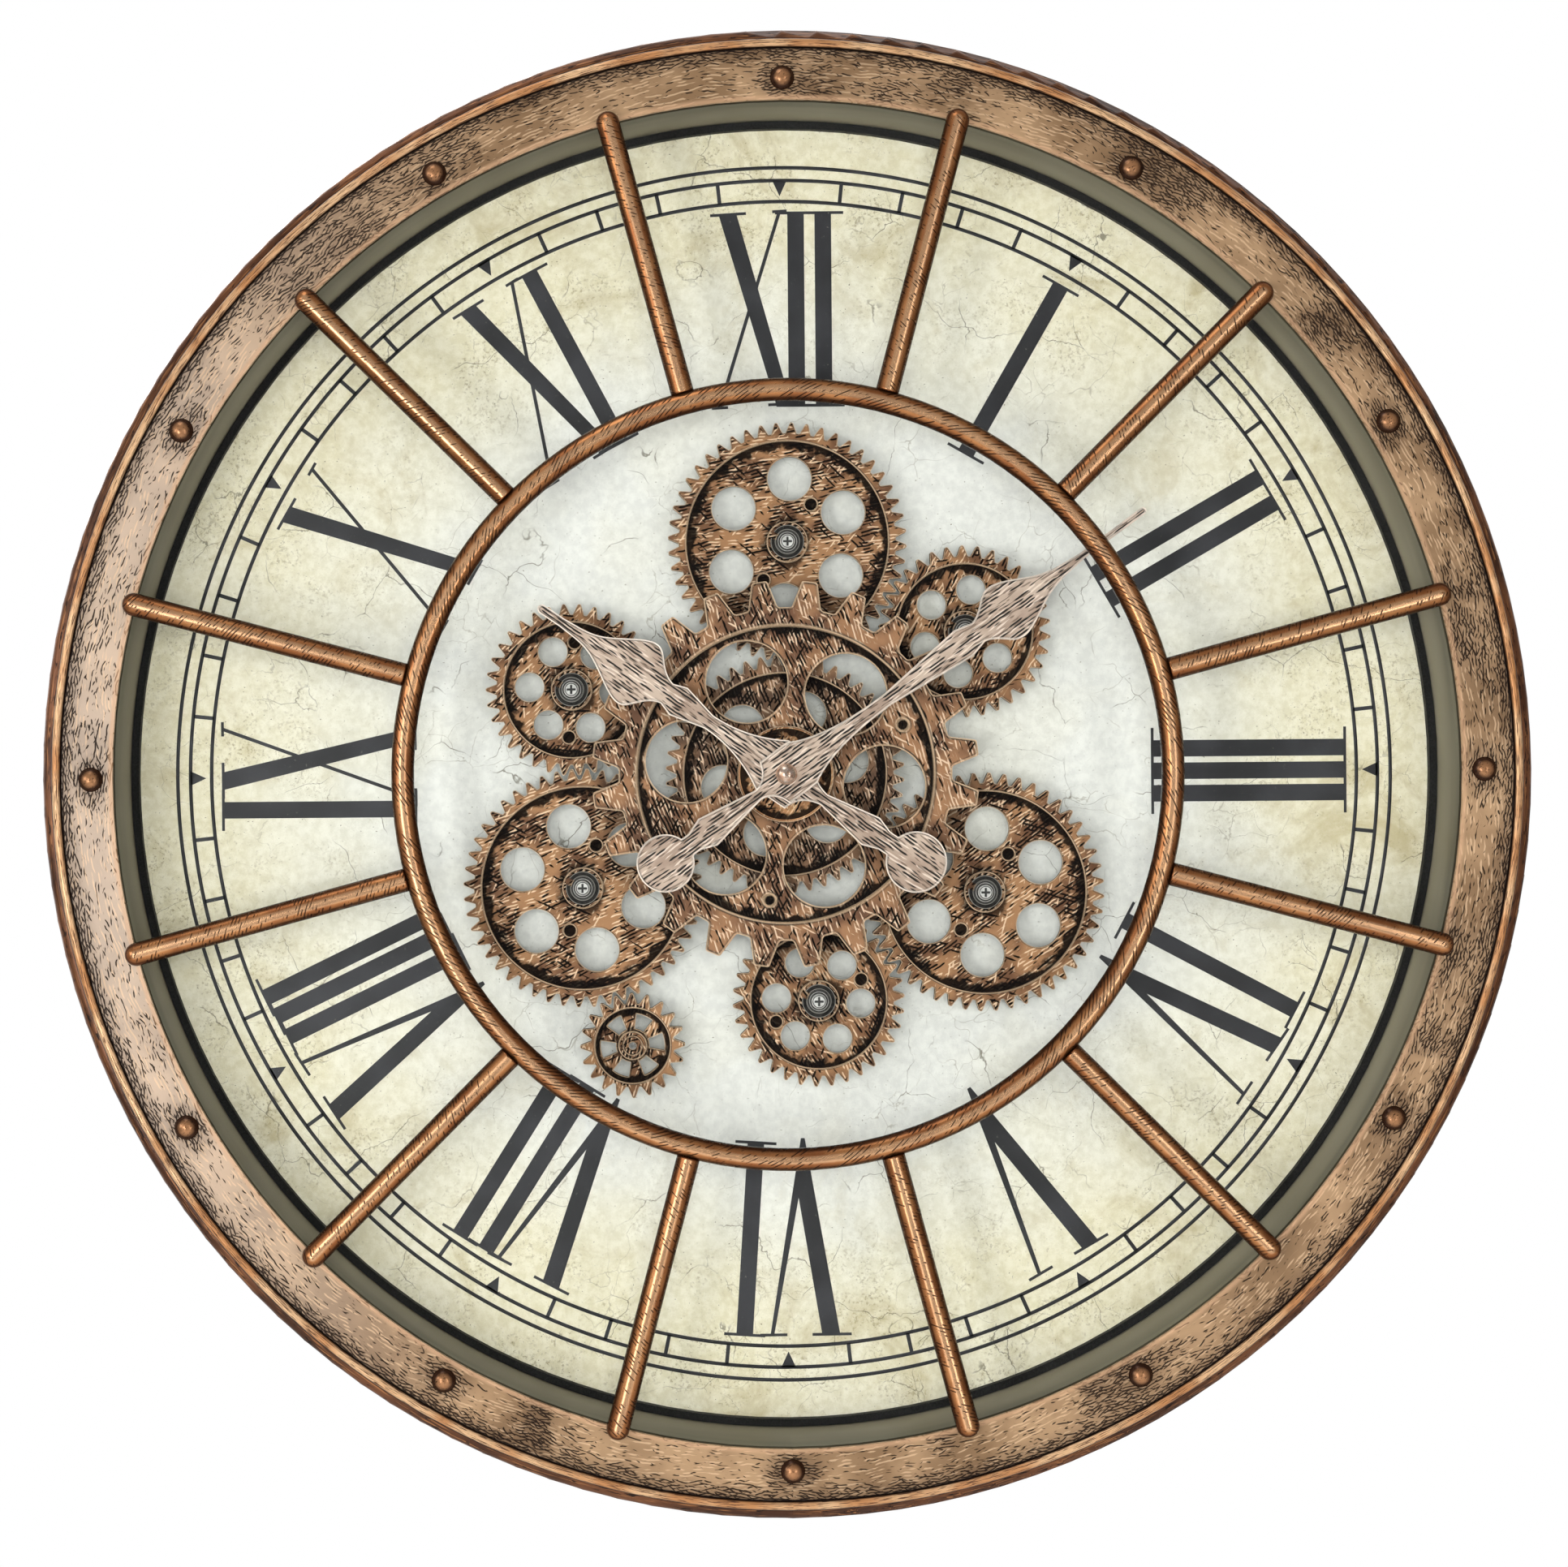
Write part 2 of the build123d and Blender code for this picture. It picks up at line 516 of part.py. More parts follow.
def cast_gear(outline, back, front, rim_inner, boss, bore, hole, hole_circle, dot_circle, dot_count):
    """Toothed rim, recessed web with round holes and blind dimples, raised boss, bore. Heights from the dial."""
    low, high = DIAL + back, DIAL + front
    body = slab(outline, low, high)
    body -= ring(rim_inner, boss, high - WEB_RECESS, high + 1)
    body -= ring(rim_inner, boss, low - 1, low + WEB_RECESS)
    hole_step = 360.0 / HOLE_COUNT
    bearings = [hole_step * index for index in range(HOLE_COUNT)]
    body -= holes_at(hole, hole_circle, bearings, low - 1, high + 1)
    dots = [hole_step / 2 + 360.0 / dot_count * index for index in range(dot_count)]
    web_front = high - WEB_RECESS
    body -= holes_at(DOT_RADIUS, dot_circle, dots, web_front - DOT_DEPTH, web_front + 1)
    return body - disc(bore, low - 2, high + 2)


def outer_gear(teeth, hole, hole_circle, dot_circle):
    """Gear with a raised boss that runs on a post."""
    root = MODULE * (teeth - 2.5) / 2
    bore = POST_JOURNAL + RUN_GAP
    body = cast_gear(train_outline(teeth), GEAR_BACK, GEAR_FRONT, root - RIM_BAND, GEAR_BOSS, bore,
                     hole, hole_circle, dot_circle, 2)
    return body + ring(GEAR_BOSS, bore, DIAL + GEAR_BACK - BOSS_RISE, DIAL + GEAR_FRONT + BOSS_RISE)


def centre_gear_fine():
    root = MODULE * (BIG_TEETH - 2.5) / 2
    return cast_gear(train_outline(BIG_TEETH), GEAR_BACK, GEAR_FRONT, root - RIM_BAND, HUB_RADIUS + 2,
                     HUB_RADIUS + PRESS_GAP, BIG_HOLE, BIG_HOLE_CIRCLE, BIG_DOT_CIRCLE, 2)


def centre_gear_coarse():
    outline = toothed_face(COARSE_TEETH, COARSE_ROOT, COARSE_TIP, COARSE_ROOT_HALF, COARSE_TIP_HALF, False)
    far = [corner for corner in outline.vertices() if hypot(corner.X, corner.Y) > COARSE_TIP - 1]
    near = [corner for corner in outline.vertices() if hypot(corner.X, corner.Y) <= COARSE_TIP - 1]
    outline = fillet(far, COARSE_TIP_ROUND)
    near = [corner for corner in outline.vertices() if hypot(corner.X, corner.Y) < COARSE_ROOT + 0.5]
    outline = fillet(near, COARSE_ROOT_ROUND)
    return cast_gear(outline, COARSE_BACK, COARSE_FRONT, COARSE_RIM_INNER, HUB_COLLAR + 3,
                     HUB_RADIUS + PRESS_GAP, COARSE_HOLE, COARSE_HOLE_CIRCLE, COARSE_DOT_CIRCLE, 3)


def drive_pinion():
    """Small gear with six spoke windows, pressed on the shaft of the gear drive."""
    low, high = DIAL + GEAR_BACK, DIAL + GEAR_FRONT
    body = slab(train_outline(PINION_TEETH), low, high)
    body -= ring(PINION_RIM_INNER, PINION_WINDOW_IN - 1.2, high - WEB_RECESS, high + 1)
    window = ring(PINION_WINDOW_OUT, PINION_WINDOW_IN, low - 1, high + 1)
    half = radians(PINION_WINDOW_SPAN / 2)
    far = 2 * PINION_WINDOW_OUT
    wedge = make_face(Polyline((0, 0), (-far * sin(half), far * cos(half)),
                               (far * sin(half), far * cos(half)), close=True))
    window &= slab(wedge, low - 2, high + 2)
    body -= spread(window, [60.0 * index for index in range(6)])
    body += disc(PINION_HUB, low - PINION_HUB_REACH, high + BOSS_RISE)
    return body - disc(PINION_BORE + PRESS_GAP, low - PINION_HUB_REACH - 1, high + 2)


def centre_bearing():
    """Flanged tube on the dial that the centre gears turn on; the stem of the movement runs through it."""
    flange = disc(BEARING_FLANGE, DIAL, DIAL + BEARING_FLANGE_SHEET)
    tube = disc(BEARING_JOURNAL, DIAL, DIAL + BEARING_TOP)
    return flange + tube - disc(BEARING_BORE, DIAL - 1, DIAL + BEARING_TOP + 1)


def centre_hub():
    """Spool that both centre gears are pressed on, with a collar between them."""
    body = disc(HUB_RADIUS, DIAL + HUB_BACK, DIAL + COARSE_FRONT)
    collar = disc(HUB_COLLAR, DIAL + GEAR_FRONT, DIAL + COARSE_BACK)
    foot = disc(HUB_COLLAR, DIAL + HUB_BACK, DIAL + GEAR_BACK)
    return body + collar + foot - disc(BEARING_JOURNAL + RUN_GAP, DIAL, DIAL + COARSE_FRONT + 1)


def centre_disc():
    back = DIAL + COARSE_FRONT
    return ring(DISC_RADIUS, BEARING_JOURNAL + 2 * RUN_GAP, back, back + DISC_SHEET)


def movement_washer():
    return ring(WASHER_RADIUS, STEM_RADIUS + HOLE_PLAY, DIAL + BEARING_TOP, DIAL + BEARING_TOP + WASHER_SHEET)


def movement_nut():
    back = DIAL + BEARING_TOP + WASHER_SHEET
    hexagon = slab(RegularPolygon(NUT_FLATS / 2, 6, major_radius=False).face(), back, back + NUT_HEIGHT)
    return hexagon - disc(STEM_RADIUS + PRESS_GAP, back - 1, back + NUT_HEIGHT + 1)


def gear_posts():
    """Shouldered posts: spacer foot on the dial, journal, and the groove for the retaining clip."""
    groove_back = DIAL + GEAR_FRONT + BOSS_RISE + END_GAP
    post = disc(POST_BASE, DIAL, DIAL + POST_SHOULDER) + disc(POST_JOURNAL, DIAL, DIAL + POST_TOP)
    post -= ring(POST_JOURNAL + 1, CLIP_GROOVE, groove_back, groove_back + CLIP_RING_SHEET)
    post -= disc(SCREW_SHANK + HOLE_PLAY, DIAL - 1, DIAL + POST_TOP + 1)
    return moved_group(post, [centres[name] for name in post_gears])


def gear_clips():
    """Open retaining rings snapped into the grooves of the posts."""
    back = DIAL + GEAR_FRONT + BOSS_RISE + END_GAP
    clip = ring(CLIP_RING, CLIP_GROOVE + HOLE_PLAY, back, back + CLIP_RING_SHEET)
    mouth = block(2 * CLIP_RING, CLIP_MOUTH, back - 1, back + CLIP_RING_SHEET + 1, (-CLIP_RING - 1, 0))
    return moved_group(Rot(0, 0, -25) * (clip - mouth), [centres[name] for name in post_gears])


def gear_screws():
    screw = pan_screw(DIAL + POST_TOP, BOARD_FRONT - SCREW_BITE)
    return moved_group(screw, [centres[name] for name in post_gears])


# ---------------------------------------------------------------- hands
def hand_face(plan):
    """Pierced-style clock hand: tip bar, leaf, collar, flared hub, collar and round tail."""
    lobe_top = plan["lobe_at"] + sqrt(plan["lobe"] ** 2 - plan["notch"] ** 2)
    half = [
        ThreePointArc((0, plan["tip"]), (plan["bar"] * 0.75, plan["tip"] - plan["bar"] * 0.4),
                      (plan["bar"], plan["tip"] - plan["bar"])),
        Line((plan["bar"], plan["tip"] - plan["bar"]), (plan["bar"], plan["bar_at"])),
        Spline((plan["bar"], plan["bar_at"]), (plan["taper"], plan["taper_at"]),
               (plan["leaf"], plan["leaf_at"]), (plan["waist"], plan["waist_at"]),
               tangents=((0.1, -1), (-0.2, -1))),
        Line((plan["waist"], plan["waist_at"]), (plan["collar"], plan["collar_at"])),
        Line((plan["collar"], plan["collar_at"]), (plan["neck"], plan["neck_at"])),
        Spline((plan["neck"], plan["neck_at"]), (plan["flare"], plan["flare_at"]),
               (plan["hub"], plan["hub_front"]), tangents=((0, -1), (0.5, -0.8))),
        Line((plan["hub"], plan["hub_front"]), (plan["hub"], plan["hub_back"])),
        Spline((plan["hub"], plan["hub_back"]), (plan["tail_neck"], plan["tail_neck_at"]),
               tangents=((-1, -0.25), (-0.15, -1))),
        Line((plan["tail_neck"], plan["tail_neck_at"]), (plan["tail_collar"], plan["tail_collar_at"])),
        Line((plan["tail_collar"], plan["tail_collar_at"]), (plan["notch"], plan["notch_at"])),
        Line((plan["notch"], plan["notch_at"]), (plan["notch"], lobe_top)),
        ThreePointArc((plan["notch"], lobe_top), (plan["lobe"], plan["lobe_at"]),
                      (0, plan["lobe_at"] - plan["lobe"])),
    ]
    other_half = [mirror(edge, Plane.YZ) for edge in half]
    return make_face([edge for part in half + other_half for edge in part.edges()])


def hour_hand():
    back = DIAL + HOUR_HAND_BACK
    blade = turned(slab(hand_face(HOUR_HAND), back, back + HAND_SHEET), HOUR_HAND_BEARING)
    return blade - disc(HOUR_TUBE + PRESS_GAP, back - 1, back + HAND_SHEET + 1)


def minute_hand():
    back = DIAL + MINUTE_HAND_BACK
    blade = turned(slab(hand_face(MINUTE_HAND), back, back + HAND_SHEET), MINUTE_HAND_BEARING)
    return blade - disc(ARBOR_SEAT + PRESS_GAP, back - 1, back + HAND_SHEET + 1)


def hand_nut():
    """Domed nut on the end of the minute arbor."""
    back = DIAL + MINUTE_HAND_BACK + HAND_SHEET
    dome_height = HAND_NUT_HEIGHT * 0.75
    radius = (HAND_NUT_RADIUS ** 2 + dome_height ** 2) / (2 * dome_height)
    dome = Pos(0, 0, back + HAND_NUT_HEIGHT - radius) * Sphere(radius)
    body = disc(HAND_NUT_RADIUS, back, back + HAND_NUT_HEIGHT - dome_height)
    body += dome & disc(HAND_NUT_RADIUS, back + HAND_NUT_HEIGHT - dome_height, back + HAND_NUT_HEIGHT)
    return body - disc(ARBOR_SEAT + PRESS_GAP, back - 1, arbor_tip + END_GAP)


# ---------------------------------------------------------------- quartz movement
def fine_outline(teeth, module):
    """Fine teeth of the movement, cut slim so that they run with play."""
    return train_outline(teeth, module, 1.0, 0.34)


def wheel(teeth, module, mid_depth, turn, centre, thickness=WHEEL_SHEET):
    shape = slab(fine_outline(teeth, module), mid_depth - thickness / 2, mid_depth + thickness / 2)
    return turned(shape, turn, centre)


def fine_arbor(back, front, centre):
    return disc(PIVOT, back, front, centre)


def movement_front_plate():
    """Front plate with the threaded stem and the bearing bosses of the fine arbors."""
    back = MOVEMENT_FRONT - SHELL_WALL
    plate = block(MOVEMENT_SIZE, MOVEMENT_SIZE, back, MOVEMENT_FRONT)
    stem = disc(STEM_RADIUS, back, DIAL + STEM_TOP)
    for name in ("minute_wheel", "third_wheel", "step_rotor"):
        plate += disc(BOSS, back - BOSS_HEIGHT, back, centres[name])
        plate -= disc(PIVOT + RUN_GAP, back - BOSS_HEIGHT - 1, back - BOSS_HEIGHT + PIVOT_DEPTH, centres[name])
    return plate + stem - disc(HOUR_TUBE + RUN_GAP, back - 1, DIAL + STEM_TOP + 1)


def movement_rear_shell():
    """Rear shell: a box with a bay for the cell that opens at the back."""
    front = MOVEMENT_FRONT - SHELL_WALL
    inner = MOVEMENT_SIZE - 2 * SHELL_WALL
    body = block(MOVEMENT_SIZE, MOVEMENT_SIZE, MOVEMENT_BACK, front)
    bay_top = -MOVEMENT_CELL_DROP + bay_half
    works_height = inner / 2 - bay_top - SHELL_WALL
    body -= block(inner, works_height, MOVEMENT_BACK + SHELL_WALL, front + 1,
                  (0, inner / 2 - works_height / 2))
    body -= block(inner, 2 * bay_half, MOVEMENT_BACK - 1, MOVEMENT_BACK + bay_depth,
                  (0, -MOVEMENT_CELL_DROP))
    floor = MOVEMENT_BACK + SHELL_WALL
    top = floor + BOSS_HEIGHT
    for name in ("third_wheel", "step_rotor", "seconds_wheel"):
        body += disc(BOSS, floor, top, centres[name])
        body -= disc(PIVOT + RUN_GAP, top - PIVOT_DEPTH, top + 1, centres[name])
    stud = centres["intermediate_wheel"]
    body += disc(BOSS, floor, top, stud) + disc(PIVOT, floor, SECONDS_WHEEL_DEPTH + STUD_REACH, stud)
    for spot in circuit_pillars:
        body += disc(PILLAR, floor, CIRCUIT_BACK, spot)
    return body - disc(MINUTE_ARBOR + RUN_GAP, MOVEMENT_BACK - 1, floor + 1, centres["minute_wheel"])


def pivots(name):
    """Depths between which the arbor of a fine wheel lies in its two bosses."""
    back = MOVEMENT_BACK + SHELL_WALL + BOSS_HEIGHT - PIVOT_DEPTH + END_GAP
    front = MOVEMENT_FRONT - SHELL_WALL - BOSS_HEIGHT + PIVOT_DEPTH - END_GAP
    return back, front


def hour_wheel():
    shape = wheel(HOUR_TEETH, HOUR_MODULE, HOUR_WHEEL_DEPTH, turns["hour_wheel"], (0, 0))
    shape += disc(HOUR_TUBE, HOUR_WHEEL_DEPTH - WHEEL_SHEET / 2, DIAL + HOUR_HAND_BACK + HAND_SHEET + 0.3)
    return shape - disc(MINUTE_ARBOR + RUN_GAP, 0, DIAL + MINUTE_HAND_BACK + 1)


def minute_arbor():
    """Arbor of the minute hand with the cannon pinion and the centre wheel."""
    foot = CENTRE_WHEEL_DEPTH - WHEEL_SHEET
    shape = disc(MINUTE_ARBOR, foot, DIAL + MINUTE_HAND_BACK) + disc(ARBOR_SEAT, foot, arbor_tip)
    shape += wheel(CENTRE_TEETH, FAST_MODULE, CENTRE_WHEEL_DEPTH, turns["minute_arbor"], (0, 0))
    shape += wheel(CANNON_TEETH, MOTION_MODULE, MINUTE_WHEEL_DEPTH, turns["cannon"], (0, 0), PINION_SHEET)
    return shape - disc(PIVOT + RUN_GAP, foot - 1, foot + PIVOT_DEPTH)


def minute_wheel():
    """Minute wheel and pinion on the arbor that runs back to the setting knob."""
    centre = centres["minute_wheel"]
    shape = wheel(MINUTE_WHEEL_TEETH, MOTION_MODULE, MINUTE_WHEEL_DEPTH, turns["minute_wheel"], centre)
    shape += wheel(MINUTE_PINION_TEETH, HOUR_MODULE, HOUR_WHEEL_DEPTH, turns["minute_pinion"], centre,
                   PINION_SHEET)
    shape += disc(1.0, knob_front - KNOB_HEIGHT / 2, MINUTE_WHEEL_DEPTH, centre)
    shape += disc(MINUTE_ARBOR, knob_front, MOVEMENT_BACK + SHELL_WALL, centre)
    return shape + fine_arbor(MINUTE_WHEEL_DEPTH, pivots("minute_wheel")[1], centre)


def fine_wheel(name, wheel_teeth, wheel_depth, wheel_turn, pinion_teeth, pinion_depth, pinion_turn,
               wheel_module=FAST_MODULE, pinion_module=FAST_MODULE):
    """Wheel and pinion on one fine arbor."""
    centre = centres[name]
    shape = wheel(wheel_teeth, wheel_module, wheel_depth, wheel_turn, centre)
    shape += wheel(pinion_teeth, pinion_module, pinion_depth, pinion_turn, centre, PINION_SHEET)
    back, front = pivots(name)
    if name == "seconds_wheel":
        front = CENTRE_WHEEL_DEPTH - WHEEL_SHEET + PIVOT_DEPTH - END_GAP
    return shape + fine_arbor(back, front, centre)


def third_wheel():
    return fine_wheel("third_wheel", THIRD_TEETH, THIRD_WHEEL_DEPTH, turns["third_wheel"],
                      THIRD_PINION_TEETH, CENTRE_WHEEL_DEPTH, turns["third_pinion"],
                      wheel_module=third_module)


def seconds_wheel():
    return fine_wheel("seconds_wheel", SECONDS_TEETH, SECONDS_WHEEL_DEPTH, turns["seconds_wheel"],
                      SECONDS_PINION_TEETH, THIRD_WHEEL_DEPTH, turns["seconds_pinion"],
                      pinion_module=third_module)


def intermediate_wheel():
    """Wheel and pinion with a bore that runs on a stud of the rear shell."""
    centre = centres["intermediate_wheel"]
    low, high = INTERMEDIATE_WHEEL_DEPTH - WHEEL_SHEET / 2, SECONDS_WHEEL_DEPTH + PINION_SHEET / 2
    shape = wheel(INTERMEDIATE_TEETH, FAST_MODULE, INTERMEDIATE_WHEEL_DEPTH, turns["intermediate_wheel"], centre)
    shape += wheel(INTERMEDIATE_PINION_TEETH, FAST_MODULE, SECONDS_WHEEL_DEPTH,
                   turns["intermediate_pinion"], centre, PINION_SHEET)
    shape += disc(FAST_MODULE * (INTERMEDIATE_PINION_TEETH - 2.5) / 2, low, high, centre)
    return shape - disc(PIVOT + RUN_GAP, low - 1, high + 1, centre)


def step_rotor():
    """Magnet of the step motor with its pinion."""
    centre = centres["step_rotor"]
    magnet = disc(ROTOR_MAGNET, ROTOR_MAGNET_BACK, ROTOR_MAGNET_BACK + ROTOR_MAGNET_SPAN, centre)
    pinion = wheel(ROTOR_TEETH, FAST_MODULE, INTERMEDIATE_WHEEL_DEPTH, turns["step_rotor"], centre, 1.2)
    back, front = pivots("step_rotor")
    return magnet + pinion + fine_arbor(back, front, centre)


def step_stator():
    """Soft iron plate round the rotor, with two arms up to the core of the coil."""
    front = STATOR_BACK + STATOR_SHEET
    x, y = centres["step_rotor"]
    bar = block(STATOR_SPAN, 2 * STATOR_RING, STATOR_BACK, front, (0, y))
    arms = block(4, COIL_RISE - y, STATOR_BACK, front, (-STATOR_SPAN / 2 + 2, (COIL_RISE + y) / 2))
    arms += block(4, COIL_RISE - y, STATOR_BACK, front, (STATOR_SPAN / 2 - 2, (COIL_RISE + y) / 2))
    return bar + arms - disc(ROTOR_MAGNET + STATOR_GAP, STATOR_BACK - 1, front + 1, (x, y))


def step_coil():
    """Winding on a core whose ends lie on the arms of the stator."""
    depth = STATOR_BACK + STATOR_SHEET + COIL_CORE
    core = block(STATOR_SPAN, 3, STATOR_BACK + STATOR_SHEET, depth + COIL_CORE, (0, COIL_RISE - 1.5))
    winding = Pos(0, COIL_RISE - 1.5, depth) * Rot(0, 90, 0) * Cylinder(COIL_RADIUS, COIL_LENGTH)
    return core + winding


def circuit_board():
    """Board with the oscillator chip and the crystal can, on pillars of the rear shell."""
    x, y = CIRCUIT_CENTRE
    front = CIRCUIT_BACK + CIRCUIT_SHEET
    board = block(CIRCUIT_WIDTH, CIRCUIT_HEIGHT, CIRCUIT_BACK, front, CIRCUIT_CENTRE)
    chip = block(3, 3, front, front + 1, (x, y + 3))
    crystal = Pos(x - 1, y - 3, front + 0.9) * Rot(0, 90, 0) * Cylinder(1.0, 6.0)
    return board + chip + crystal


def setting_knob():
    """Ribbed knob on the back, pressed on the minute wheel's arbor."""
    centre = centres["minute_wheel"]
    knob = disc(KNOB_RADIUS, knob_front - KNOB_HEIGHT, knob_front)
    knob -= holes_at(0.5, KNOB_RADIUS, [360.0 / KNOB_RIBS * rib for rib in range(KNOB_RIBS)],
                     knob_front - KNOB_HEIGHT - 1, knob_front + 1)
    knob -= disc(1.0 + PRESS_GAP, knob_front - KNOB_HEIGHT / 2 - PRESS_GAP, knob_front + 1)
    return Pos(*centre, 0) * knob


def cell(centre, depth, flip=1):
    """AA cell lying across, its nub to the right when flip is 1."""
    can = Rot(0, 90, 0) * Cylinder(CELL_RADIUS, CELL_LENGTH)
    nub = Pos(flip * (CELL_LENGTH + CELL_NUB_HEIGHT) / 2, 0, 0) * Rot(0, 90, 0) * Cylinder(
        CELL_NUB, CELL_NUB_HEIGHT)
    return Pos(centre[0] - flip * CELL_NUB_HEIGHT / 2, centre[1], depth) * (can + nub)


def contact_pair(centre, depth, reach):
    """Two contact plates at the ends of a bay of a given inner length."""
    plates = []
    for side in (-1, 1):
        x = centre[0] + side * (reach / 2 - CONTACT_SHEET / 2)
        plates.append(block(CONTACT_SHEET, CELL_RADIUS, depth - CELL_RADIUS / 2, depth + CELL_RADIUS / 2,
                            (x, centre[1])))
    return plates


def movement_cell():
    return cell((0, -MOVEMENT_CELL_DROP), movement_cell_depth)


def movement_contacts():
    plates = contact_pair((0, -MOVEMENT_CELL_DROP), movement_cell_depth, MOVEMENT_SIZE - 2 * SHELL_WALL)
    return Compound([solid for plate in plates for solid in plate.solids()])


# ---------------------------------------------------------------- gear drive
def drive_housing():
    """Box behind the dial: a closed room for the geared motor above a bay for two cells."""
    x, y = centres["drive_pinion"]
    middle = y + (DRIVE_RISE - DRIVE_DROP) / 2
    height = DRIVE_RISE + DRIVE_DROP
    body = block(DRIVE_WIDTH, height, DRIVE_BACK, MOVEMENT_FRONT, (x, middle))
    for ear in drive_ears:
        body += disc(EAR / 2, MOVEMENT_FRONT - EAR_SHEET, MOVEMENT_FRONT, ear)
        side = 1 if ear[0] > x else -1
        body += block(EAR / 2, EAR, MOVEMENT_FRONT - EAR_SHEET, MOVEMENT_FRONT, (ear[0] - side * EAR / 4, ear[1]))
        body -= disc(SCREW_SHANK + HOLE_PLAY, MOVEMENT_FRONT - 2 * EAR_SHEET, MOVEMENT_FRONT + 1, ear)
    inner = DRIVE_WIDTH - 2 * DRIVE_WALL
    room_height = DRIVE_RISE - DRIVE_WALL + DRIVE_MOTOR + 1
    floor = MOVEMENT_FRONT - DRIVE_WALL
    body -= block(inner, room_height, DRIVE_BACK - 1, floor,
                  (x, y + DRIVE_RISE - DRIVE_WALL - room_height / 2))
    bay_height = DRIVE_CELL_PITCH + 2 * (CELL_RADIUS + CELL_PLAY)
    bay_middle = y - DRIVE_CELL_DROP - DRIVE_CELL_PITCH / 2
    body -= block(inner, bay_height, DRIVE_BACK - 1, drive_cell_depth + CELL_RADIUS + CELL_PLAY, (x, bay_middle))
    slot = block(DRIVE_WALL * 4, SWITCH_TRAVEL + SWITCH_KNOB, switch_depth - SWITCH_SLOT / 2,
                 switch_depth + SWITCH_SLOT / 2, (x + DRIVE_WIDTH / 2, y + SWITCH_RISE))
    return body - slot - disc(DRIVE_SHAFT + 2 * HOLE_PLAY, floor - 1, MOVEMENT_FRONT + 1, (x, y))


def drive_cover():
    """Cover of the motor room, set into the back of the housing."""
    x, y = centres["drive_pinion"]
    room_height = DRIVE_RISE - DRIVE_WALL + DRIVE_MOTOR + 1
    gap = 2 * HOLE_PLAY
    return block(DRIVE_WIDTH - 2 * DRIVE_WALL - 2 * gap, room_height - 2 * gap, DRIVE_BACK,
                 DRIVE_BACK + DRIVE_WALL, (x, y + DRIVE_RISE - DRIVE_WALL - room_height / 2))


def drive_motor():
    """Geared motor in its can, screwed to the front wall of the housing; its shaft has a bore of its own."""
    front = MOVEMENT_FRONT - DRIVE_WALL
    body = disc(DRIVE_MOTOR, front - DRIVE_MOTOR_HEIGHT, front)
    body -= disc(DRIVE_SHAFT + RUN_GAP, front - DRIVE_MOTOR_HEIGHT / 2, front + 1)
    return Pos(*centres["drive_pinion"], 0) * body


def drive_shaft():
    back = MOVEMENT_FRONT - DRIVE_WALL - DRIVE_MOTOR_HEIGHT / 2 + END_GAP
    return disc(DRIVE_SHAFT, back, DIAL + GEAR_FRONT + SHAFT_TIP, centres["drive_pinion"])


def drive_cell_centres():
    x, y = centres["drive_pinion"]
    return [(x, y - DRIVE_CELL_DROP), (x, y - DRIVE_CELL_DROP - DRIVE_CELL_PITCH)]


def drive_cells():
    first, second = drive_cell_centres()
    pair = [cell(first, drive_cell_depth, 1), cell(second, drive_cell_depth, -1)]
    return Compound([solid for one in pair for solid in one.solids()])


def drive_contacts():
    plates = []
    for centre in drive_cell_centres():
        plates += contact_pair(centre, drive_cell_depth, DRIVE_WIDTH - 2 * DRIVE_WALL)
    return Compound([solid for plate in plates for solid in plate.solids()])


def drive_switch():
    """Slide switch in the side wall, drawn in its off position at the lower end of the slot."""
    x, y = centres["drive_pinion"]
    low = y + SWITCH_RISE - SWITCH_TRAVEL / 2
    wall_out = x + DRIVE_WIDTH / 2
    neck = block(DRIVE_WALL + 2, SWITCH_KNOB - 0.4, switch_depth - SWITCH_SLOT / 2 + 0.2,
                 switch_depth + SWITCH_SLOT / 2 - 0.2, (wall_out - DRIVE_WALL / 2, low))
    plate = block(1.0, SWITCH_KNOB + 3, switch_depth - SWITCH_SLOT, switch_depth + SWITCH_SLOT,
                  (wall_out - DRIVE_WALL - 0.7, low))
    cap = block(1.4, SWITCH_KNOB - 0.4, switch_depth - SWITCH_SLOT / 2 + 0.2,
                switch_depth + SWITCH_SLOT / 2 - 0.2, (wall_out + 1.2, low))
    return neck + plate + cap


def drive_screws():
    seat = MOVEMENT_FRONT - EAR_SHEET
    return moved_group(pan_screw(seat, BOARD_BACK + SCREW_BITE - 1), drive_ears)


# ---------------------------------------------------------------- where the gears sit and how they mesh
def mesh_turn(driver_turn, driver_teeth, driven_teeth, bearing, wanted=None):
    """Clockwise turn of a gear, tooth 0 at twelve, that meshes with its driver at a bearing."""
    driver_step, driven_step = 360.0 / driver_teeth, 360.0 / driven_teeth
    phase = ((driver_turn - bearing) / driver_step) % 1.0
    turn = bearing + HALF_TURN - (phase + 0.5) * driven_step
    if wanted is not None:
        turn += driven_step * round((wanted - turn) / driven_step)
    return turn


def mesh_distance(teeth, other_teeth):
    return MODULE * (teeth + other_teeth) / 2 + MESH_SLACK


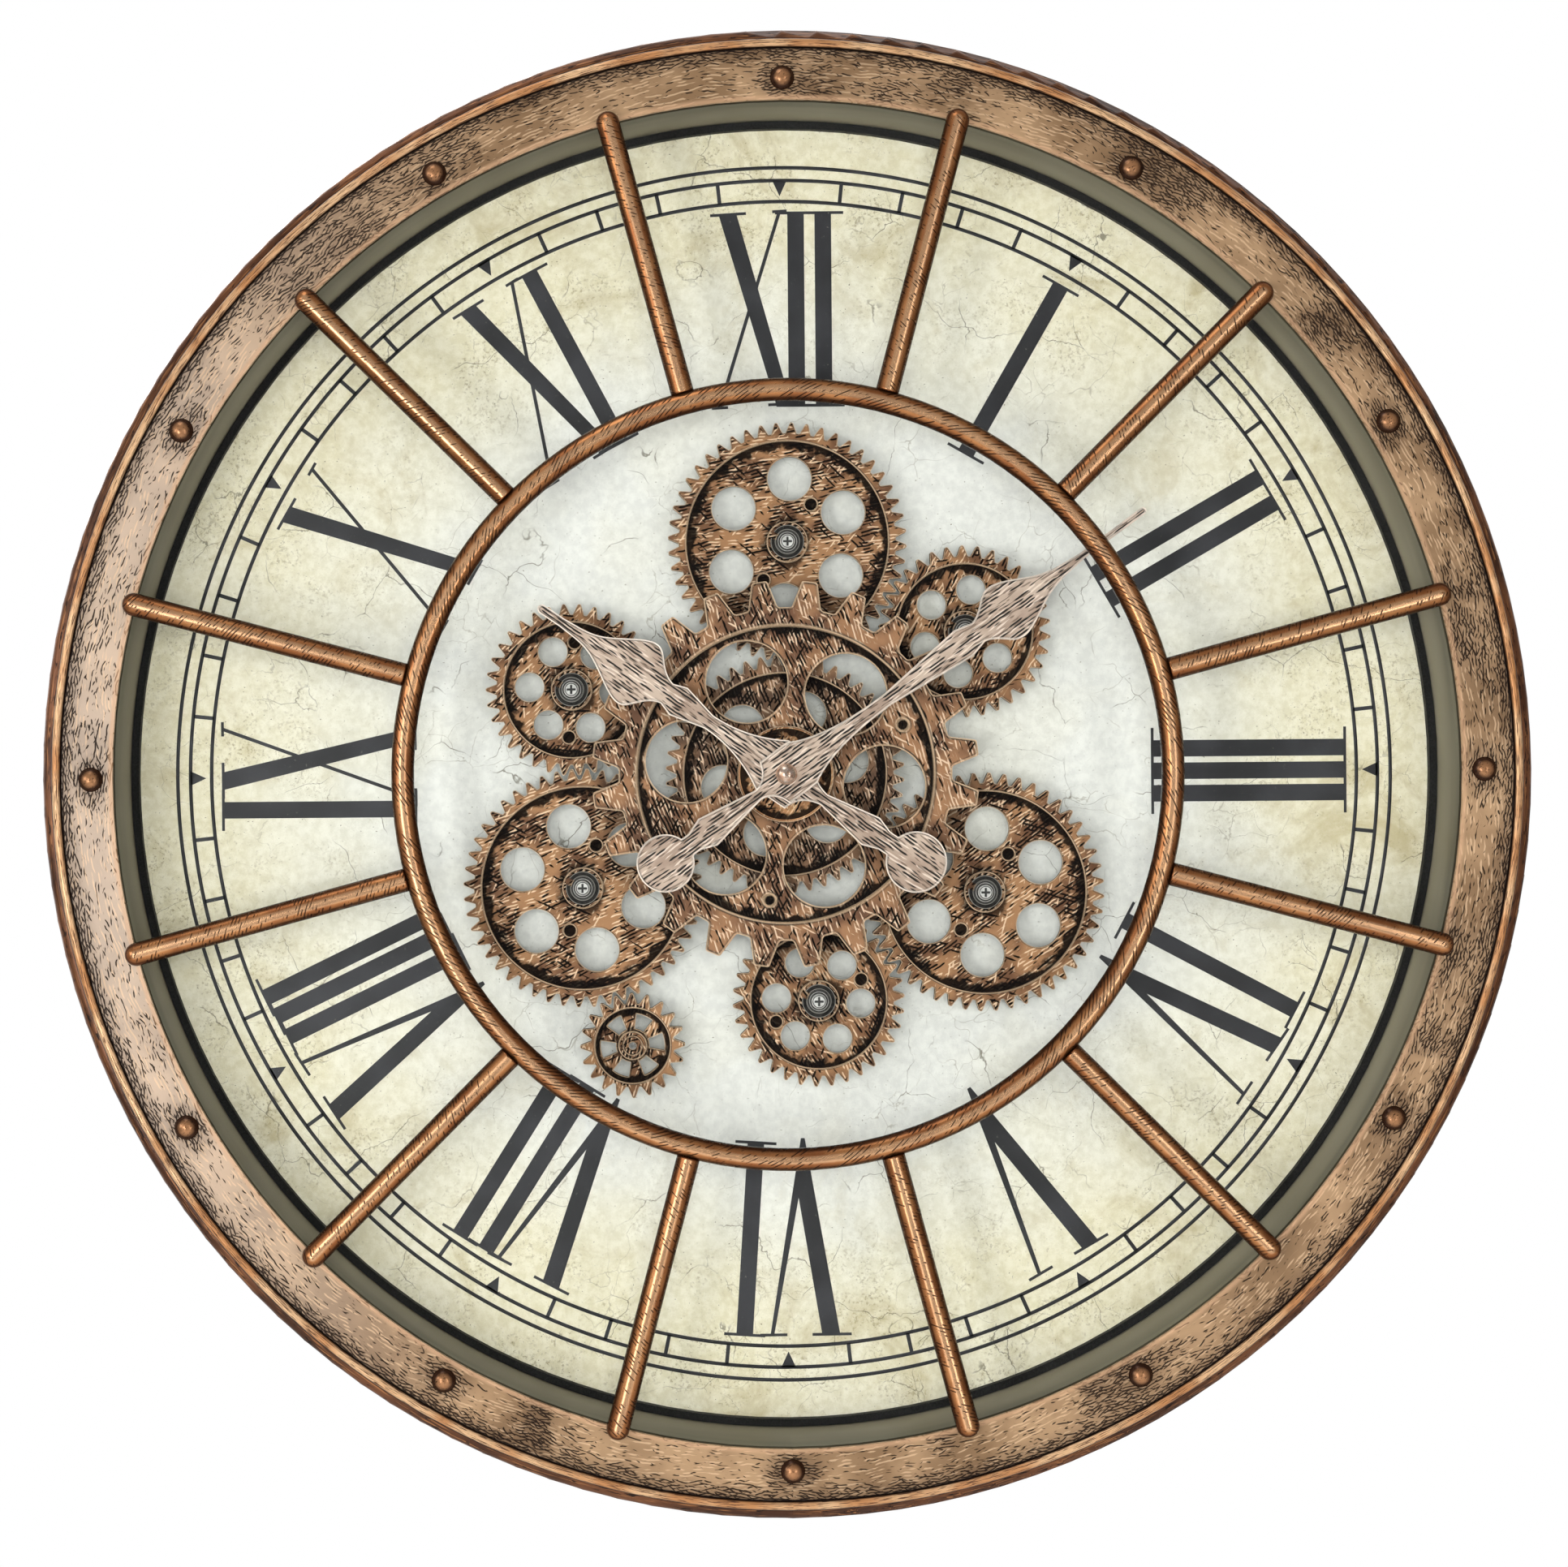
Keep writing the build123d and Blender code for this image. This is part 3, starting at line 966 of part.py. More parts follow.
centres = {"centre": (0.0, 0.0), "seconds_wheel": (0.0, 0.0)}
turns = {"centre_gear_fine": HOLE_BEARINGS["centre_gear_fine"]}
for gear, offset in BIG_GEARS.items():
    bearing = TRAIN_TURN + offset
    centres[gear] = at(mesh_distance(BIG_TEETH, BIG_TEETH), bearing)
    turns[gear] = mesh_turn(turns["centre_gear_fine"], BIG_TEETH, BIG_TEETH, bearing, HOLE_BEARINGS[gear])
for gear, driver in SATELLITES.items():
    bearing = TRAIN_TURN + BIG_GEARS[driver] + SATELLITE_BEARING
    centres[gear] = at(mesh_distance(BIG_TEETH, SMALL_TEETH), bearing, centres[driver])
    turns[gear] = mesh_turn(turns[driver], BIG_TEETH, SMALL_TEETH, bearing, HOLE_BEARINGS[gear])
pinion_at = TRAIN_TURN + BIG_GEARS[PINION_DRIVES] + PINION_BEARING
centres["drive_pinion"] = at(mesh_distance(BIG_TEETH, PINION_TEETH), pinion_at, centres[PINION_DRIVES])
turns["drive_pinion"] = mesh_turn(turns[PINION_DRIVES], BIG_TEETH, PINION_TEETH, pinion_at)
post_gears = list(BIG_GEARS) + list(SATELLITES)

motion_distance = MOTION_MODULE * (MINUTE_WHEEL_TEETH + CANNON_TEETH) / 2
third_distance = FAST_MODULE * (CENTRE_TEETH + THIRD_PINION_TEETH) / 2
third_module = 2 * third_distance / (THIRD_TEETH + SECONDS_PINION_TEETH)
centres["minute_wheel"] = at(motion_distance, MINUTE_WHEEL_BEARING)
centres["third_wheel"] = at(third_distance, THIRD_BEARING)
centres["intermediate_wheel"] = at(FAST_MODULE * (SECONDS_TEETH + INTERMEDIATE_PINION_TEETH) / 2,
                                   INTERMEDIATE_BEARING)
centres["step_rotor"] = at(FAST_MODULE * (INTERMEDIATE_TEETH + ROTOR_TEETH) / 2, ROTOR_BEARING,
                           centres["intermediate_wheel"])
turns["cannon"] = turns["minute_arbor"] = MINUTE_HAND_BEARING
turns["minute_wheel"] = mesh_turn(turns["cannon"], CANNON_TEETH, MINUTE_WHEEL_TEETH, MINUTE_WHEEL_BEARING)
turns["minute_pinion"] = 0.0
turns["hour_wheel"] = mesh_turn(turns["minute_pinion"], MINUTE_PINION_TEETH, HOUR_TEETH,
                                MINUTE_WHEEL_BEARING + HALF_TURN)
turns["third_pinion"] = mesh_turn(turns["minute_arbor"], CENTRE_TEETH, THIRD_PINION_TEETH, THIRD_BEARING)
turns["third_wheel"] = 0.0
turns["seconds_pinion"] = mesh_turn(turns["third_wheel"], THIRD_TEETH, SECONDS_PINION_TEETH,
                                    THIRD_BEARING + HALF_TURN)
turns["seconds_wheel"] = 0.0
turns["intermediate_pinion"] = mesh_turn(turns["seconds_wheel"], SECONDS_TEETH, INTERMEDIATE_PINION_TEETH,
                                         INTERMEDIATE_BEARING)
turns["intermediate_wheel"] = 0.0
turns["step_rotor"] = mesh_turn(turns["intermediate_wheel"], INTERMEDIATE_TEETH, ROTOR_TEETH, ROTOR_BEARING)

arbor_tip = DIAL + MINUTE_HAND_BACK + HAND_SHEET + HAND_NUT_HEIGHT * 0.6
knob_front = MOVEMENT_BACK - 2 * END_GAP
bay_half = CELL_RADIUS + CELL_PLAY
bay_depth = 2 * CELL_RADIUS - 2.0 + CELL_PLAY
movement_cell_depth = MOVEMENT_BACK + bay_depth - CELL_PLAY - CELL_RADIUS
drive_cell_depth = DRIVE_BACK + CELL_RADIUS
switch_depth = (DRIVE_BACK + MOVEMENT_FRONT) / 2
pillar_side = CIRCUIT_WIDTH / 2 - 1.5 * PILLAR
pillar_rise = CIRCUIT_HEIGHT / 2 - 1.5 * PILLAR
circuit_pillars = [(CIRCUIT_CENTRE[0] + side, CIRCUIT_CENTRE[1] + rise)
                   for side, rise in ((pillar_side, pillar_rise), (pillar_side, -pillar_rise), (0, -pillar_rise))]
clip_screw_circle = BAND_BORE - CLIP_FOOT / 2 - 2
clip_bearings = [CLIP_FIRST + 360.0 / CLIP_COUNT * clip for clip in range(CLIP_COUNT)]
drive_x, drive_y = centres["drive_pinion"]
drive_ears = [(drive_x + side * (DRIVE_WIDTH + EAR) / 2, drive_y + rise)
              for side in (-1, 1) for rise in (DRIVE_RISE - EAR, EAR - DRIVE_DROP)]


def train_gear(name, teeth):
    if teeth == BIG_TEETH:
        blank = outer_gear(teeth, BIG_HOLE, BIG_HOLE_CIRCLE, BIG_DOT_CIRCLE)
    else:
        blank = outer_gear(teeth, SMALL_HOLE, SMALL_HOLE_CIRCLE, SMALL_DOT_CIRCLE)
    return turned(blank, turns[name], centres[name])


pieces = {
    "side_band": side_band(), "bezel_plate": bezel_plate(), "edge_bead": edge_bead(),
    "bezel_rivets": bezel_rivets(), "glass": glass(), "glass_gasket": glass_gasket(),
    "spacer_liner": spacer_liner(), "dial_edge_seal": dial_edge_seal(), "dial_sheet": dial_sheet(),
    "dial_board": dial_board(), "board_clips": board_clips(), "board_screws": board_screws(),
    "hanger_plate": hanger_plate(), "grille_ring": grille_ring(), "grille_rods": grille_rods(),
    "centre_bearing": centre_bearing(), "centre_hub": centre_hub(),
    "centre_gear_fine": turned(centre_gear_fine(), turns["centre_gear_fine"]),
    "centre_gear_coarse": turned(centre_gear_coarse(), COARSE_BEARING),
    "centre_disc": centre_disc(), "movement_washer": movement_washer(), "movement_nut": movement_nut(),
    "gear_posts": gear_posts(), "gear_clips": gear_clips(), "gear_screws": gear_screws(),
    "drive_pinion": turned(drive_pinion(), turns["drive_pinion"], centres["drive_pinion"]),
    "hour_hand": hour_hand(), "minute_hand": minute_hand(), "hand_nut": hand_nut(),
    "movement_front_plate": movement_front_plate(), "movement_rear_shell": movement_rear_shell(),
    "hour_wheel": hour_wheel(), "minute_arbor": minute_arbor(), "minute_wheel": minute_wheel(),
    "third_wheel": third_wheel(), "seconds_wheel": seconds_wheel(),
    "intermediate_wheel": intermediate_wheel(), "step_rotor": step_rotor(),
    "step_stator": step_stator(), "step_coil": step_coil(), "circuit_board": circuit_board(),
    "setting_knob": setting_knob(), "movement_cell": movement_cell(),
    "movement_contacts": movement_contacts(), "drive_housing": drive_housing(),
    "drive_cover": drive_cover(), "drive_motor": drive_motor(), "drive_shaft": drive_shaft(),
    "drive_cells": drive_cells(), "drive_contacts": drive_contacts(), "drive_switch": drive_switch(),
    "drive_screws": drive_screws(),
}
for gear in BIG_GEARS:
    pieces[gear] = train_gear(gear, BIG_TEETH)
for gear in SATELLITES:
    pieces[gear] = train_gear(gear, SMALL_TEETH)

hang = Pos(0, 0, -HANGER_HOLE_RISE) * Rot(90, 0, 0)
os.makedirs("parts", exist_ok=True)
for name, piece in pieces.items():
    export_step(hang * Compound(piece.solids()), f"parts/{name}.step")
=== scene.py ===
from math import cos, pi, radians, sin

import bpy
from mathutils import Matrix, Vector
from mathutils.geometry import delaunay_2d_cdt


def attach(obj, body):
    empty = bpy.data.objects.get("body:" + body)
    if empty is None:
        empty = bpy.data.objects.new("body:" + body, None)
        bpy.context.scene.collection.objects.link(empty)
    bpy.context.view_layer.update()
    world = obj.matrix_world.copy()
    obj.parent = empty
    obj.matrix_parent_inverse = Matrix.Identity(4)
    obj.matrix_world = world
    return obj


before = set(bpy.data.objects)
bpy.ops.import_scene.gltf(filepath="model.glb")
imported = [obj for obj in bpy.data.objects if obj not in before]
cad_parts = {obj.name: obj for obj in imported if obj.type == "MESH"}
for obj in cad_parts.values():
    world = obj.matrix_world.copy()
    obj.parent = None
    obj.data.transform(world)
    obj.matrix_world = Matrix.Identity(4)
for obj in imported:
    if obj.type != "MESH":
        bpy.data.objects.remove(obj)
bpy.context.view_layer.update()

# Lengths are millimetres unless a name says otherwise; MM turns them to the metres of the scene.
MM = 0.001
AXIS_DROP = 278.0                # hanger hole, the origin, to the axis of the clock
DIAL = 29.0                      # depth of the dial, from the wall
FRONT = 75.0                     # depth of the bezel's face
HOUR_STEP = 30.0                 # degrees
RIVET_CIRCLE = 284.4
BEAD_CIRCLE = 298.6
RING_CIRCLE = 156.7


# ---------------------------------------------------------------- small tools
def srgb(code):
    """Linear colour of an sRGB hex value."""
    parts = [int(code[i:i + 2], 16) / 255 for i in (1, 3, 5)]
    return [p / 12.92 if p <= 0.04045 else ((p + 0.055) / 1.055) ** 2.4 for p in parts] + [1.0]


def add(tree, kind, wires=None, out=0, **settings):
    """Adds a node with its settings, values and links, and gives one of its outputs."""
    node = tree.nodes.new(kind)
    for name, value in settings.items():
        setattr(node, name, value)
    for name, value in (wires or {}).items():
        if isinstance(value, bpy.types.NodeSocket):
            tree.links.new(value, node.inputs[name])
        else:
            node.inputs[name].default_value = value
    return node.outputs[out] if node.outputs else None


def new_material(name):
    """Material with an empty tree of nodes."""
    made = bpy.data.materials.new(name)
    made.use_nodes = True
    made.node_tree.nodes.clear()
    return made, made.node_tree


def surface(tree, colour, roughness, metallic=0.0, relief=None, **more):
    """Shader at the end of a material. relief is a height, the millimetres of its full height and its strength;
    more values go by their socket names."""
    wires = {"Base Color": colour, "Roughness": roughness, "Metallic": metallic}
    wires.update({name.replace("_", " "): value for name, value in more.items()})
    if relief:
        height, full, strength = relief
        bump = {"Height": height, "Distance": full * MM, "Strength": strength}
        wires["Normal"] = add(tree, "ShaderNodeBump", bump)
    shader = add(tree, "ShaderNodeBsdfPrincipled", wires)
    add(tree, "ShaderNodeOutputMaterial", {"Surface": shader})


def wear(made, *nodes):
    """Gives CAD nodes a finish."""
    for name in nodes:
        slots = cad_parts[name].data.materials
        slots.clear()
        slots.append(made)


def coats(tree, base, *layers):
    """Colour of a base with coats laid over it in turn. A coat is where it lies, how much it covers and its
    colour; a colour is a hex value or what another mix gives."""
    tone = srgb(base) if isinstance(base, str) else base
    for mask, cover, colour in layers:
        if cover != 1:
            mask = add(tree, "ShaderNodeMath", {0: mask, 1: cover}, operation="MULTIPLY")
        colour = srgb(colour) if isinstance(colour, str) else colour
        tone = add(tree, "ShaderNodeMix", {0: mask, 6: tone, 7: colour}, out=2, data_type="RGBA")
    return tone


def strongest(tree, masks):
    """The highest of several masks at each point."""
    top = masks[0]
    for mask in masks[1:]:
        top = add(tree, "ShaderNodeMath", {0: top, 1: mask}, operation="MAXIMUM")
    return top


def about(tree, centre=(0.0, 0.0), bearing=0.0):
    """Object coordinates in millimetres about a point of the dial, z along a clockwise bearing."""
    here = add(tree, "ShaderNodeTexCoord", out="Object")
    place = (centre[0] * MM, 0.0, (centre[1] - AXIS_DROP) * MM)
    turn = (0, radians(bearing), 0)
    return add(tree, "ShaderNodeMapping",
               {"Vector": here, "Location": place, "Rotation": turn, "Scale": (MM,) * 3}, vector_type="TEXTURE")


def patches(tree, coords, size, low, high, detail=2.0, roughness=0.5, twist=0.0, turn=0.0):
    """Mask of noise. size is how large its spots are in millimetres, every way or along x, y and z; low and
    high are the values where it starts and is full; turn is its slant in degrees."""
    size = size if isinstance(size, tuple) else (size,) * 3
    slant = (0, radians(turn), 0)
    turned = add(tree, "ShaderNodeMapping", {"Vector": coords, "Rotation": slant, "Scale": size},
                 vector_type="TEXTURE")
    noise = add(tree, "ShaderNodeTexNoise", {"Vector": turned, "Scale": 1.0, "Detail": detail,
                                             "Roughness": roughness, "Distortion": twist})
    return add(tree, "ShaderNodeMapRange", {0: noise, 1: low, 2: high}, interpolation_type="SMOOTHSTEP")


def hoop(tree, coords, radius):
    """Coordinates of a hoop: length along it, depth, distance from the axis."""
    x, y, z = (add(tree, "ShaderNodeSeparateXYZ", {0: coords}, out=i) for i in range(3))
    flat = add(tree, "ShaderNodeCombineXYZ", {0: x, 2: z})
    far = add(tree, "ShaderNodeVectorMath", {0: flat}, out=1, operation="LENGTH")
    angle = add(tree, "ShaderNodeMath", {0: x, 1: z}, operation="ARCTAN2")
    along = add(tree, "ShaderNodeMath", {0: angle, 1: radius}, operation="MULTIPLY")
    return add(tree, "ShaderNodeCombineXYZ", {0: along, 1: y, 2: far}), angle, far


def spokes(tree, angle, far, shift=0.0):
    """Sideways distance from the nearest of twelve radial lines, and the number of that line."""
    step = radians(HOUR_STEP)
    turns = add(tree, "ShaderNodeMath", {0: angle, 1: 1 / step, 2: shift}, operation="MULTIPLY_ADD")
    number = add(tree, "ShaderNodeMath", {0: turns}, operation="ROUND")
    apart = add(tree, "ShaderNodeMath", {0: turns, 1: number}, operation="SUBTRACT")
    swing = add(tree, "ShaderNodeMath", {0: apart, 1: step}, operation="MULTIPLY")
    return add(tree, "ShaderNodeMath", {0: swing, 1: far}, operation="MULTIPLY"), number


def band_mask(tree, value, low, high, soft):
    """Mask of a value between two limits, with soft ends."""
    up = add(tree, "ShaderNodeMapRange", {0: value, 1: low - soft, 2: low})
    down = add(tree, "ShaderNodeMapRange", {0: value, 1: high + soft, 2: high})
    return add(tree, "ShaderNodeMath", {0: up, 1: down}, operation="MULTIPLY")


def bent(tree, coords, size, amount):
    """Coordinates pushed about by soft noise, so that strokes laid on them wander."""
    noise = add(tree, "ShaderNodeTexNoise", {"Vector": coords, "Scale": 1 / size, "Detail": 2.0}, out="Color")
    push = add(tree, "ShaderNodeVectorMath", {0: noise, 1: (0.5, 0.5, 0.5)}, operation="SUBTRACT")
    return add(tree, "ShaderNodeVectorMath", {0: push, 1: (amount,) * 3, 2: coords}, operation="MULTIPLY_ADD")


def outward(tree):
    """How squarely a face looks out of the clock: 1 on faces turned to the front, 0 on the sides."""
    normal = add(tree, "ShaderNodeNewGeometry", out="Normal")
    side = add(tree, "ShaderNodeSeparateXYZ", {0: normal}, out=1)
    return add(tree, "ShaderNodeMath", {0: side, 1: -1.0}, operation="MULTIPLY", use_clamp=True)


def corner_turn(tree, radius):
    """How far the normal rounded over a radius turns from the true one: 0 on flats, near 0.3 at a square
    corner."""
    round_normal = add(tree, "ShaderNodeBevel", {"Radius": radius * MM}, samples=8)
    normal = add(tree, "ShaderNodeNewGeometry", out="Normal")
    match = add(tree, "ShaderNodeVectorMath", {0: round_normal, 1: normal}, out=1, operation="DOT_PRODUCT")
    return add(tree, "ShaderNodeMath", {0: 1.0, 1: match}, operation="SUBTRACT")


def sheltered(tree, distance, low, high):
    """Mask of the places that lie close under or beside another face: low and high are how open they are."""
    open_sky = add(tree, "ShaderNodeAmbientOcclusion", {"Distance": distance * MM}, out="AO", samples=6)
    return add(tree, "ShaderNodeMapRange", {0: open_sky, 1: high, 2: low})


ROW_SHIFT = 3.7                  # how far apart in the noise two rows of dashes are, so that they don't match
DASH_TAPER = 0.10                # rise of the noise over which a dash grows to its width
DASH_EDGE = 0.06, 0.12           # pitches: half a dash's soft edge, added to keep its width, and the whole edge


def dashes(tree, coords, pitch, width, length, start, turn=0.0, bias=0.0):
    """Mask of tapering brush dashes in rows along z: pitch of the rows, width and length of a dash, the noise
    value where one starts (0.5 leaves half of a row bare), the slant, and what is added to the noise. The
    bristles of the real brush leave marks 0.2 to 0.5 mm apart; rows of 1.1 to 1.8 mm are the finest that still
    show."""
    turned = add(tree, "ShaderNodeMapping", {"Vector": coords, "Rotation": (0, radians(turn), 0),
                                             "Scale": (pitch, pitch, length)}, vector_type="TEXTURE")
    x, z = (add(tree, "ShaderNodeSeparateXYZ", {0: turned}, out=i) for i in (0, 2))
    row = add(tree, "ShaderNodeMath", {0: x}, operation="ROUND")
    off = add(tree, "ShaderNodeMath", {0: x, 1: row}, operation="SUBTRACT")
    off = add(tree, "ShaderNodeMath", {0: off}, operation="ABSOLUTE")
    shifted = add(tree, "ShaderNodeMath", {0: row, 1: ROW_SHIFT}, operation="MULTIPLY")
    place = add(tree, "ShaderNodeCombineXYZ", {0: shifted, 2: z})
    noise = add(tree, "ShaderNodeTexNoise", {"Vector": place, "Scale": 1.0, "Detail": 1.0})
    value = add(tree, "ShaderNodeMath", {0: noise, 1: bias}, operation="ADD")
    gain, soft = DASH_EDGE
    reach = add(tree, "ShaderNodeMapRange", {0: value, 1: start, 2: start + DASH_TAPER,
                                             4: 0.5 * width / pitch + gain})
    inside = add(tree, "ShaderNodeMath", {0: reach, 1: off}, operation="SUBTRACT")
    return add(tree, "ShaderNodeMapRange", {0: inside, 1: 0.0, 2: soft})


# ---------------------------------------------------------------- copper finishes
BEZEL_HOLE = 275.6               # radii: the opening of the bezel plate
BEZEL_MIDDLE = 286.0             # the middle of its width
GROOVE = 296.6                   # where it meets the bead
SHOULDER = 300.9                 # where the bend of the side band begins
CASE_RADIUS = 305.0
PAINTED_SHEEN_SIDE = -120.0, -280.0, 0.45  # from where to where across the bezel the painted sheen of light from the left grows, and how much
# pitch, length, slant and start of the three sets of black hairs
BEZEL_HAIRS = (1.15, 6.0, 96.0, 0.57), (1.3, 4.5, 74.0, 0.60), (1.4, 3.5, 118.0, 0.63)


def antique_bezel(name):
    """Bezel in hammered antique copper paint: pale copper rubbed round the hoop, the black wash left as fine
    broken strokes, thick in the outer groove, round the rivets and in cloudy patches; painted paler on its left
    side as the sheen of light from the left, with the wash painted thinner there."""
    made, tree = new_material(name)
    coords = about(tree)
    along, angle, far = hoop(tree, coords, BEZEL_MIDDLE)
    swept = bent(tree, bent(tree, along, 34.0, 5.0), 6.0, 1.8)
    clouds = patches(tree, coords, (30, 20, 30), 0.36, 0.64, 3.0)
    across = add(tree, "ShaderNodeSeparateXYZ", {0: coords})
    begin, end, full = PAINTED_SHEEN_SIDE
    # Painted sheen: paler towards the left side, where light from the left gleams on the copper.
    left = add(tree, "ShaderNodeMapRange", {0: across, 1: begin, 2: end, 4: full},
               interpolation_type="SMOOTHSTEP")
    pale = dashes(tree, swept, pitch=1.3, width=0.6, length=8.0, start=0.48, turn=86.0)
    wash = patches(tree, coords, (44, 30, 44), 0.46, 0.68, 3.0, twist=0.6)
    # The wash is painted thinner under the painted sheen of the left side.
    rubbed = add(tree, "ShaderNodeMapRange", {0: left, 2: full, 3: 1.0, 4: 0.45})
    wash = add(tree, "ShaderNodeMath", {0: wash, 1: rubbed}, operation="MULTIPLY")
    aside, _ = spokes(tree, angle, far)
    aside = add(tree, "ShaderNodeMath", {0: aside, 1: 0.7}, operation="MULTIPLY")
    reach = add(tree, "ShaderNodeMath", {0: far, 1: RIVET_CIRCLE}, operation="SUBTRACT")
    gap = add(tree, "ShaderNodeCombineXYZ", {0: aside, 2: reach})
    away = add(tree, "ShaderNodeVectorMath", {0: gap}, out=1, operation="LENGTH")
    near_rivet = add(tree, "ShaderNodeMapRange", {0: away, 1: 11.0, 2: 5.0, 4: 0.9})
    near_groove = add(tree, "ShaderNodeMapRange", {0: far, 1: GROOVE - 8.1, 2: GROOVE - 1.1, 4: 1.15})
    heavy = strongest(tree, [wash, near_rivet, near_groove])
    bias = add(tree, "ShaderNodeMath", {0: heavy, 1: 0.17}, operation="MULTIPLY")
    marks = strongest(tree, [dashes(tree, swept, pitch, 0.5, length, start, turn, bias)
                             for pitch, length, turn, start in BEZEL_HAIRS])
    seam = add(tree, "ShaderNodeMapRange", {0: far, 1: GROOVE - 0.9, 2: GROOVE - 0.2})
    edge = add(tree, "ShaderNodeMapRange", {0: far, 1: BEZEL_HOLE + 2.2, 2: BEZEL_HOLE + 1.0})
    # left lays the painted sheen of the left side on the bezel.
    tone = coats(tree, "#957554", (clouds, 1, "#c19d77"), (left, 1, "#eadacb"), (pale, 0.55, "#f4d0a8"),
                 (heavy, 0.42, "#4f3a2b"), (marks, 0.92, "#211a19"), (seam, 1, "#1d1512"),
                 (edge, 0.6, "#dcb08a"))
    rough = add(tree, "ShaderNodeMapRange", {0: marks, 3: 0.42, 4: 0.75})
    sheen = add(tree, "ShaderNodeMapRange", {0: marks, 3: 0.5, 4: 0.1})
    hollow = add(tree, "ShaderNodeMath", {0: 1.0, 1: marks}, operation="SUBTRACT")
    surface(tree, tone, rough, 0.35, (hollow, 0.12, 0.6), Specular_IOR_Level=sheen)
    return made


def antique_bead(name):
    """Bead rubbed to bright copper on its crest, with hair-fine dark lines along it and brown flanks."""
    made, tree = new_material(name)
    coords = about(tree)
    along, _, far = hoop(tree, coords, BEAD_CIRCLE)
    clouds = patches(tree, coords, (25, 20, 25), 0.38, 0.62)
    hairs = patches(tree, along, (7.0, 2.0, 0.30), 0.53, 0.60, 2.0, 0.6, 0.2)
    off_crest = add(tree, "ShaderNodeMath", {0: far, 1: BEAD_CIRCLE}, operation="SUBTRACT")
    off_crest = add(tree, "ShaderNodeMath", {0: off_crest}, operation="ABSOLUTE")
    flank = add(tree, "ShaderNodeMapRange", {0: off_crest, 1: 1.2, 2: 1.75})
    tone = coats(tree, "#cf915d", (clouds, 1, "#f2c596"), (hairs, 1, "#6d4a33"), (flank, 1, "#2c1a10"))
    rough = add(tree, "ShaderNodeMapRange", {0: hairs, 3: 0.30, 4: 0.50})
    surface(tree, tone, rough, 0.45, (hairs, -0.05, 0.5))
    return made


def antique_band(name):
    """Side band in dark brown lacquer over copper: faint copper streaks round the band, brighter on its
    bend."""
    made, tree = new_material(name)
    coords = about(tree)
    along, _, far = hoop(tree, coords, CASE_RADIUS)
    clouds = patches(tree, coords, (40, 25, 40), 0.38, 0.64, 3.0)
    streaks = patches(tree, along, (16.0, 0.7, 0.7), 0.54, 0.68, 2.0, 0.6, 0.3)
    wash = patches(tree, along, (6.0, 1.0, 1.0), 0.56, 0.66, 3.0, 0.6, 0.3)
    seam = band_mask(tree, far, GROOVE, SHOULDER, 0.2)
    tone = coats(tree, "#4d2e1d", (clouds, 1, "#7a4d31"), (streaks, 1, "#a87146"), (wash, 1, "#24150d"),
                 (seam, 1, "#150d09"))
    rough = add(tree, "ShaderNodeMapRange", {0: wash, 3: 0.33, 4: 0.5})
    rounded = add(tree, "ShaderNodeBevel", {"Radius": 2.5 * MM}, samples=8)
    surface(tree, tone, rough, 0.45, Normal=rounded)
    return made


def rubbed_bar_painted_light(name, coords_of, length, turn, start, shade="#2a170d"):
    """Round bar plated in antique copper: the crest, the side that faces out of the clock, is rubbed bright and
    painted lighter still with a painted highlight along its middle, the flanks keep the brown and are painted
    near black at their edges as shade, and fine black dashes cross it at a slant. coords_of gives millimetres
    along the bar as z."""
    made, tree = new_material(name)
    coords = about(tree)
    face = outward(tree)
    # Painted light: by how squarely the bar faces out of the clock, crest is painted lighter, shine is a
    # painted highlight along it and rim is painted shade on the flanks.
    crest = add(tree, "ShaderNodeMapRange", {0: face, 1: 0.58, 2: 0.99}, interpolation_type="SMOOTHSTEP")
    clouds = patches(tree, coords, 14, 0.36, 0.66)
    shine = add(tree, "ShaderNodeMapRange", {0: face, 1: 0.90, 2: 0.995}, interpolation_type="SMOOTHSTEP")
    rim = add(tree, "ShaderNodeMapRange", {0: face, 1: 0.45, 2: 0.15})
    heavy = patches(tree, coords, 17, 0.42, 0.72)
    bias = add(tree, "ShaderNodeMath", {0: heavy, 1: 0.12}, operation="MULTIPLY")
    marks = dashes(tree, coords_of(tree, coords), 1.3, 0.5, length, start, turn, bias)
    bright = coats(tree, "#b36f40", (clouds, 1, "#da955d"))
    # crest, shine and rim lay the painted lit crest, the painted highlight and the painted shade.
    tone = coats(tree, "#5a3319", (crest, 1, bright), (shine, 0.60, "#ffd1a3"), (rim, 1, "#1c0f08"),
                 (marks, 0.9, shade))
    rough = add(tree, "ShaderNodeMapRange", {0: marks, 3: 0.27, 4: 0.50})
    surface(tree, tone, rough, 0.75, (marks, -0.06, 0.5))
    return made


def rod_mm(tree, coords):
    """Across a spoke of the grille, depth, and along it; every spoke has a stretch of its own."""
    _, angle, far = hoop(tree, coords, 1.0)
    aside, number = spokes(tree, angle, far, 0.5)
    along = add(tree, "ShaderNodeMath", {0: number, 1: 137.0, 2: far}, operation="MULTIPLY_ADD")
    depth = add(tree, "ShaderNodeSeparateXYZ", {0: coords}, out=1)
    return add(tree, "ShaderNodeCombineXYZ", {0: aside, 1: depth, 2: along})


def ring_mm(tree, coords):
    """Across the ring of the grille, depth, and along it."""
    along, _, far = hoop(tree, coords, RING_CIRCLE)
    length, depth = (add(tree, "ShaderNodeSeparateXYZ", {0: along}, out=i) for i in (0, 1))
    return add(tree, "ShaderNodeCombineXYZ", {0: far, 1: depth, 2: length})


GEAR_BLACK = "#0f0c0b"
POCKET = 1.25, 1.5               # depth behind a gear's front where its floor and holes turn black


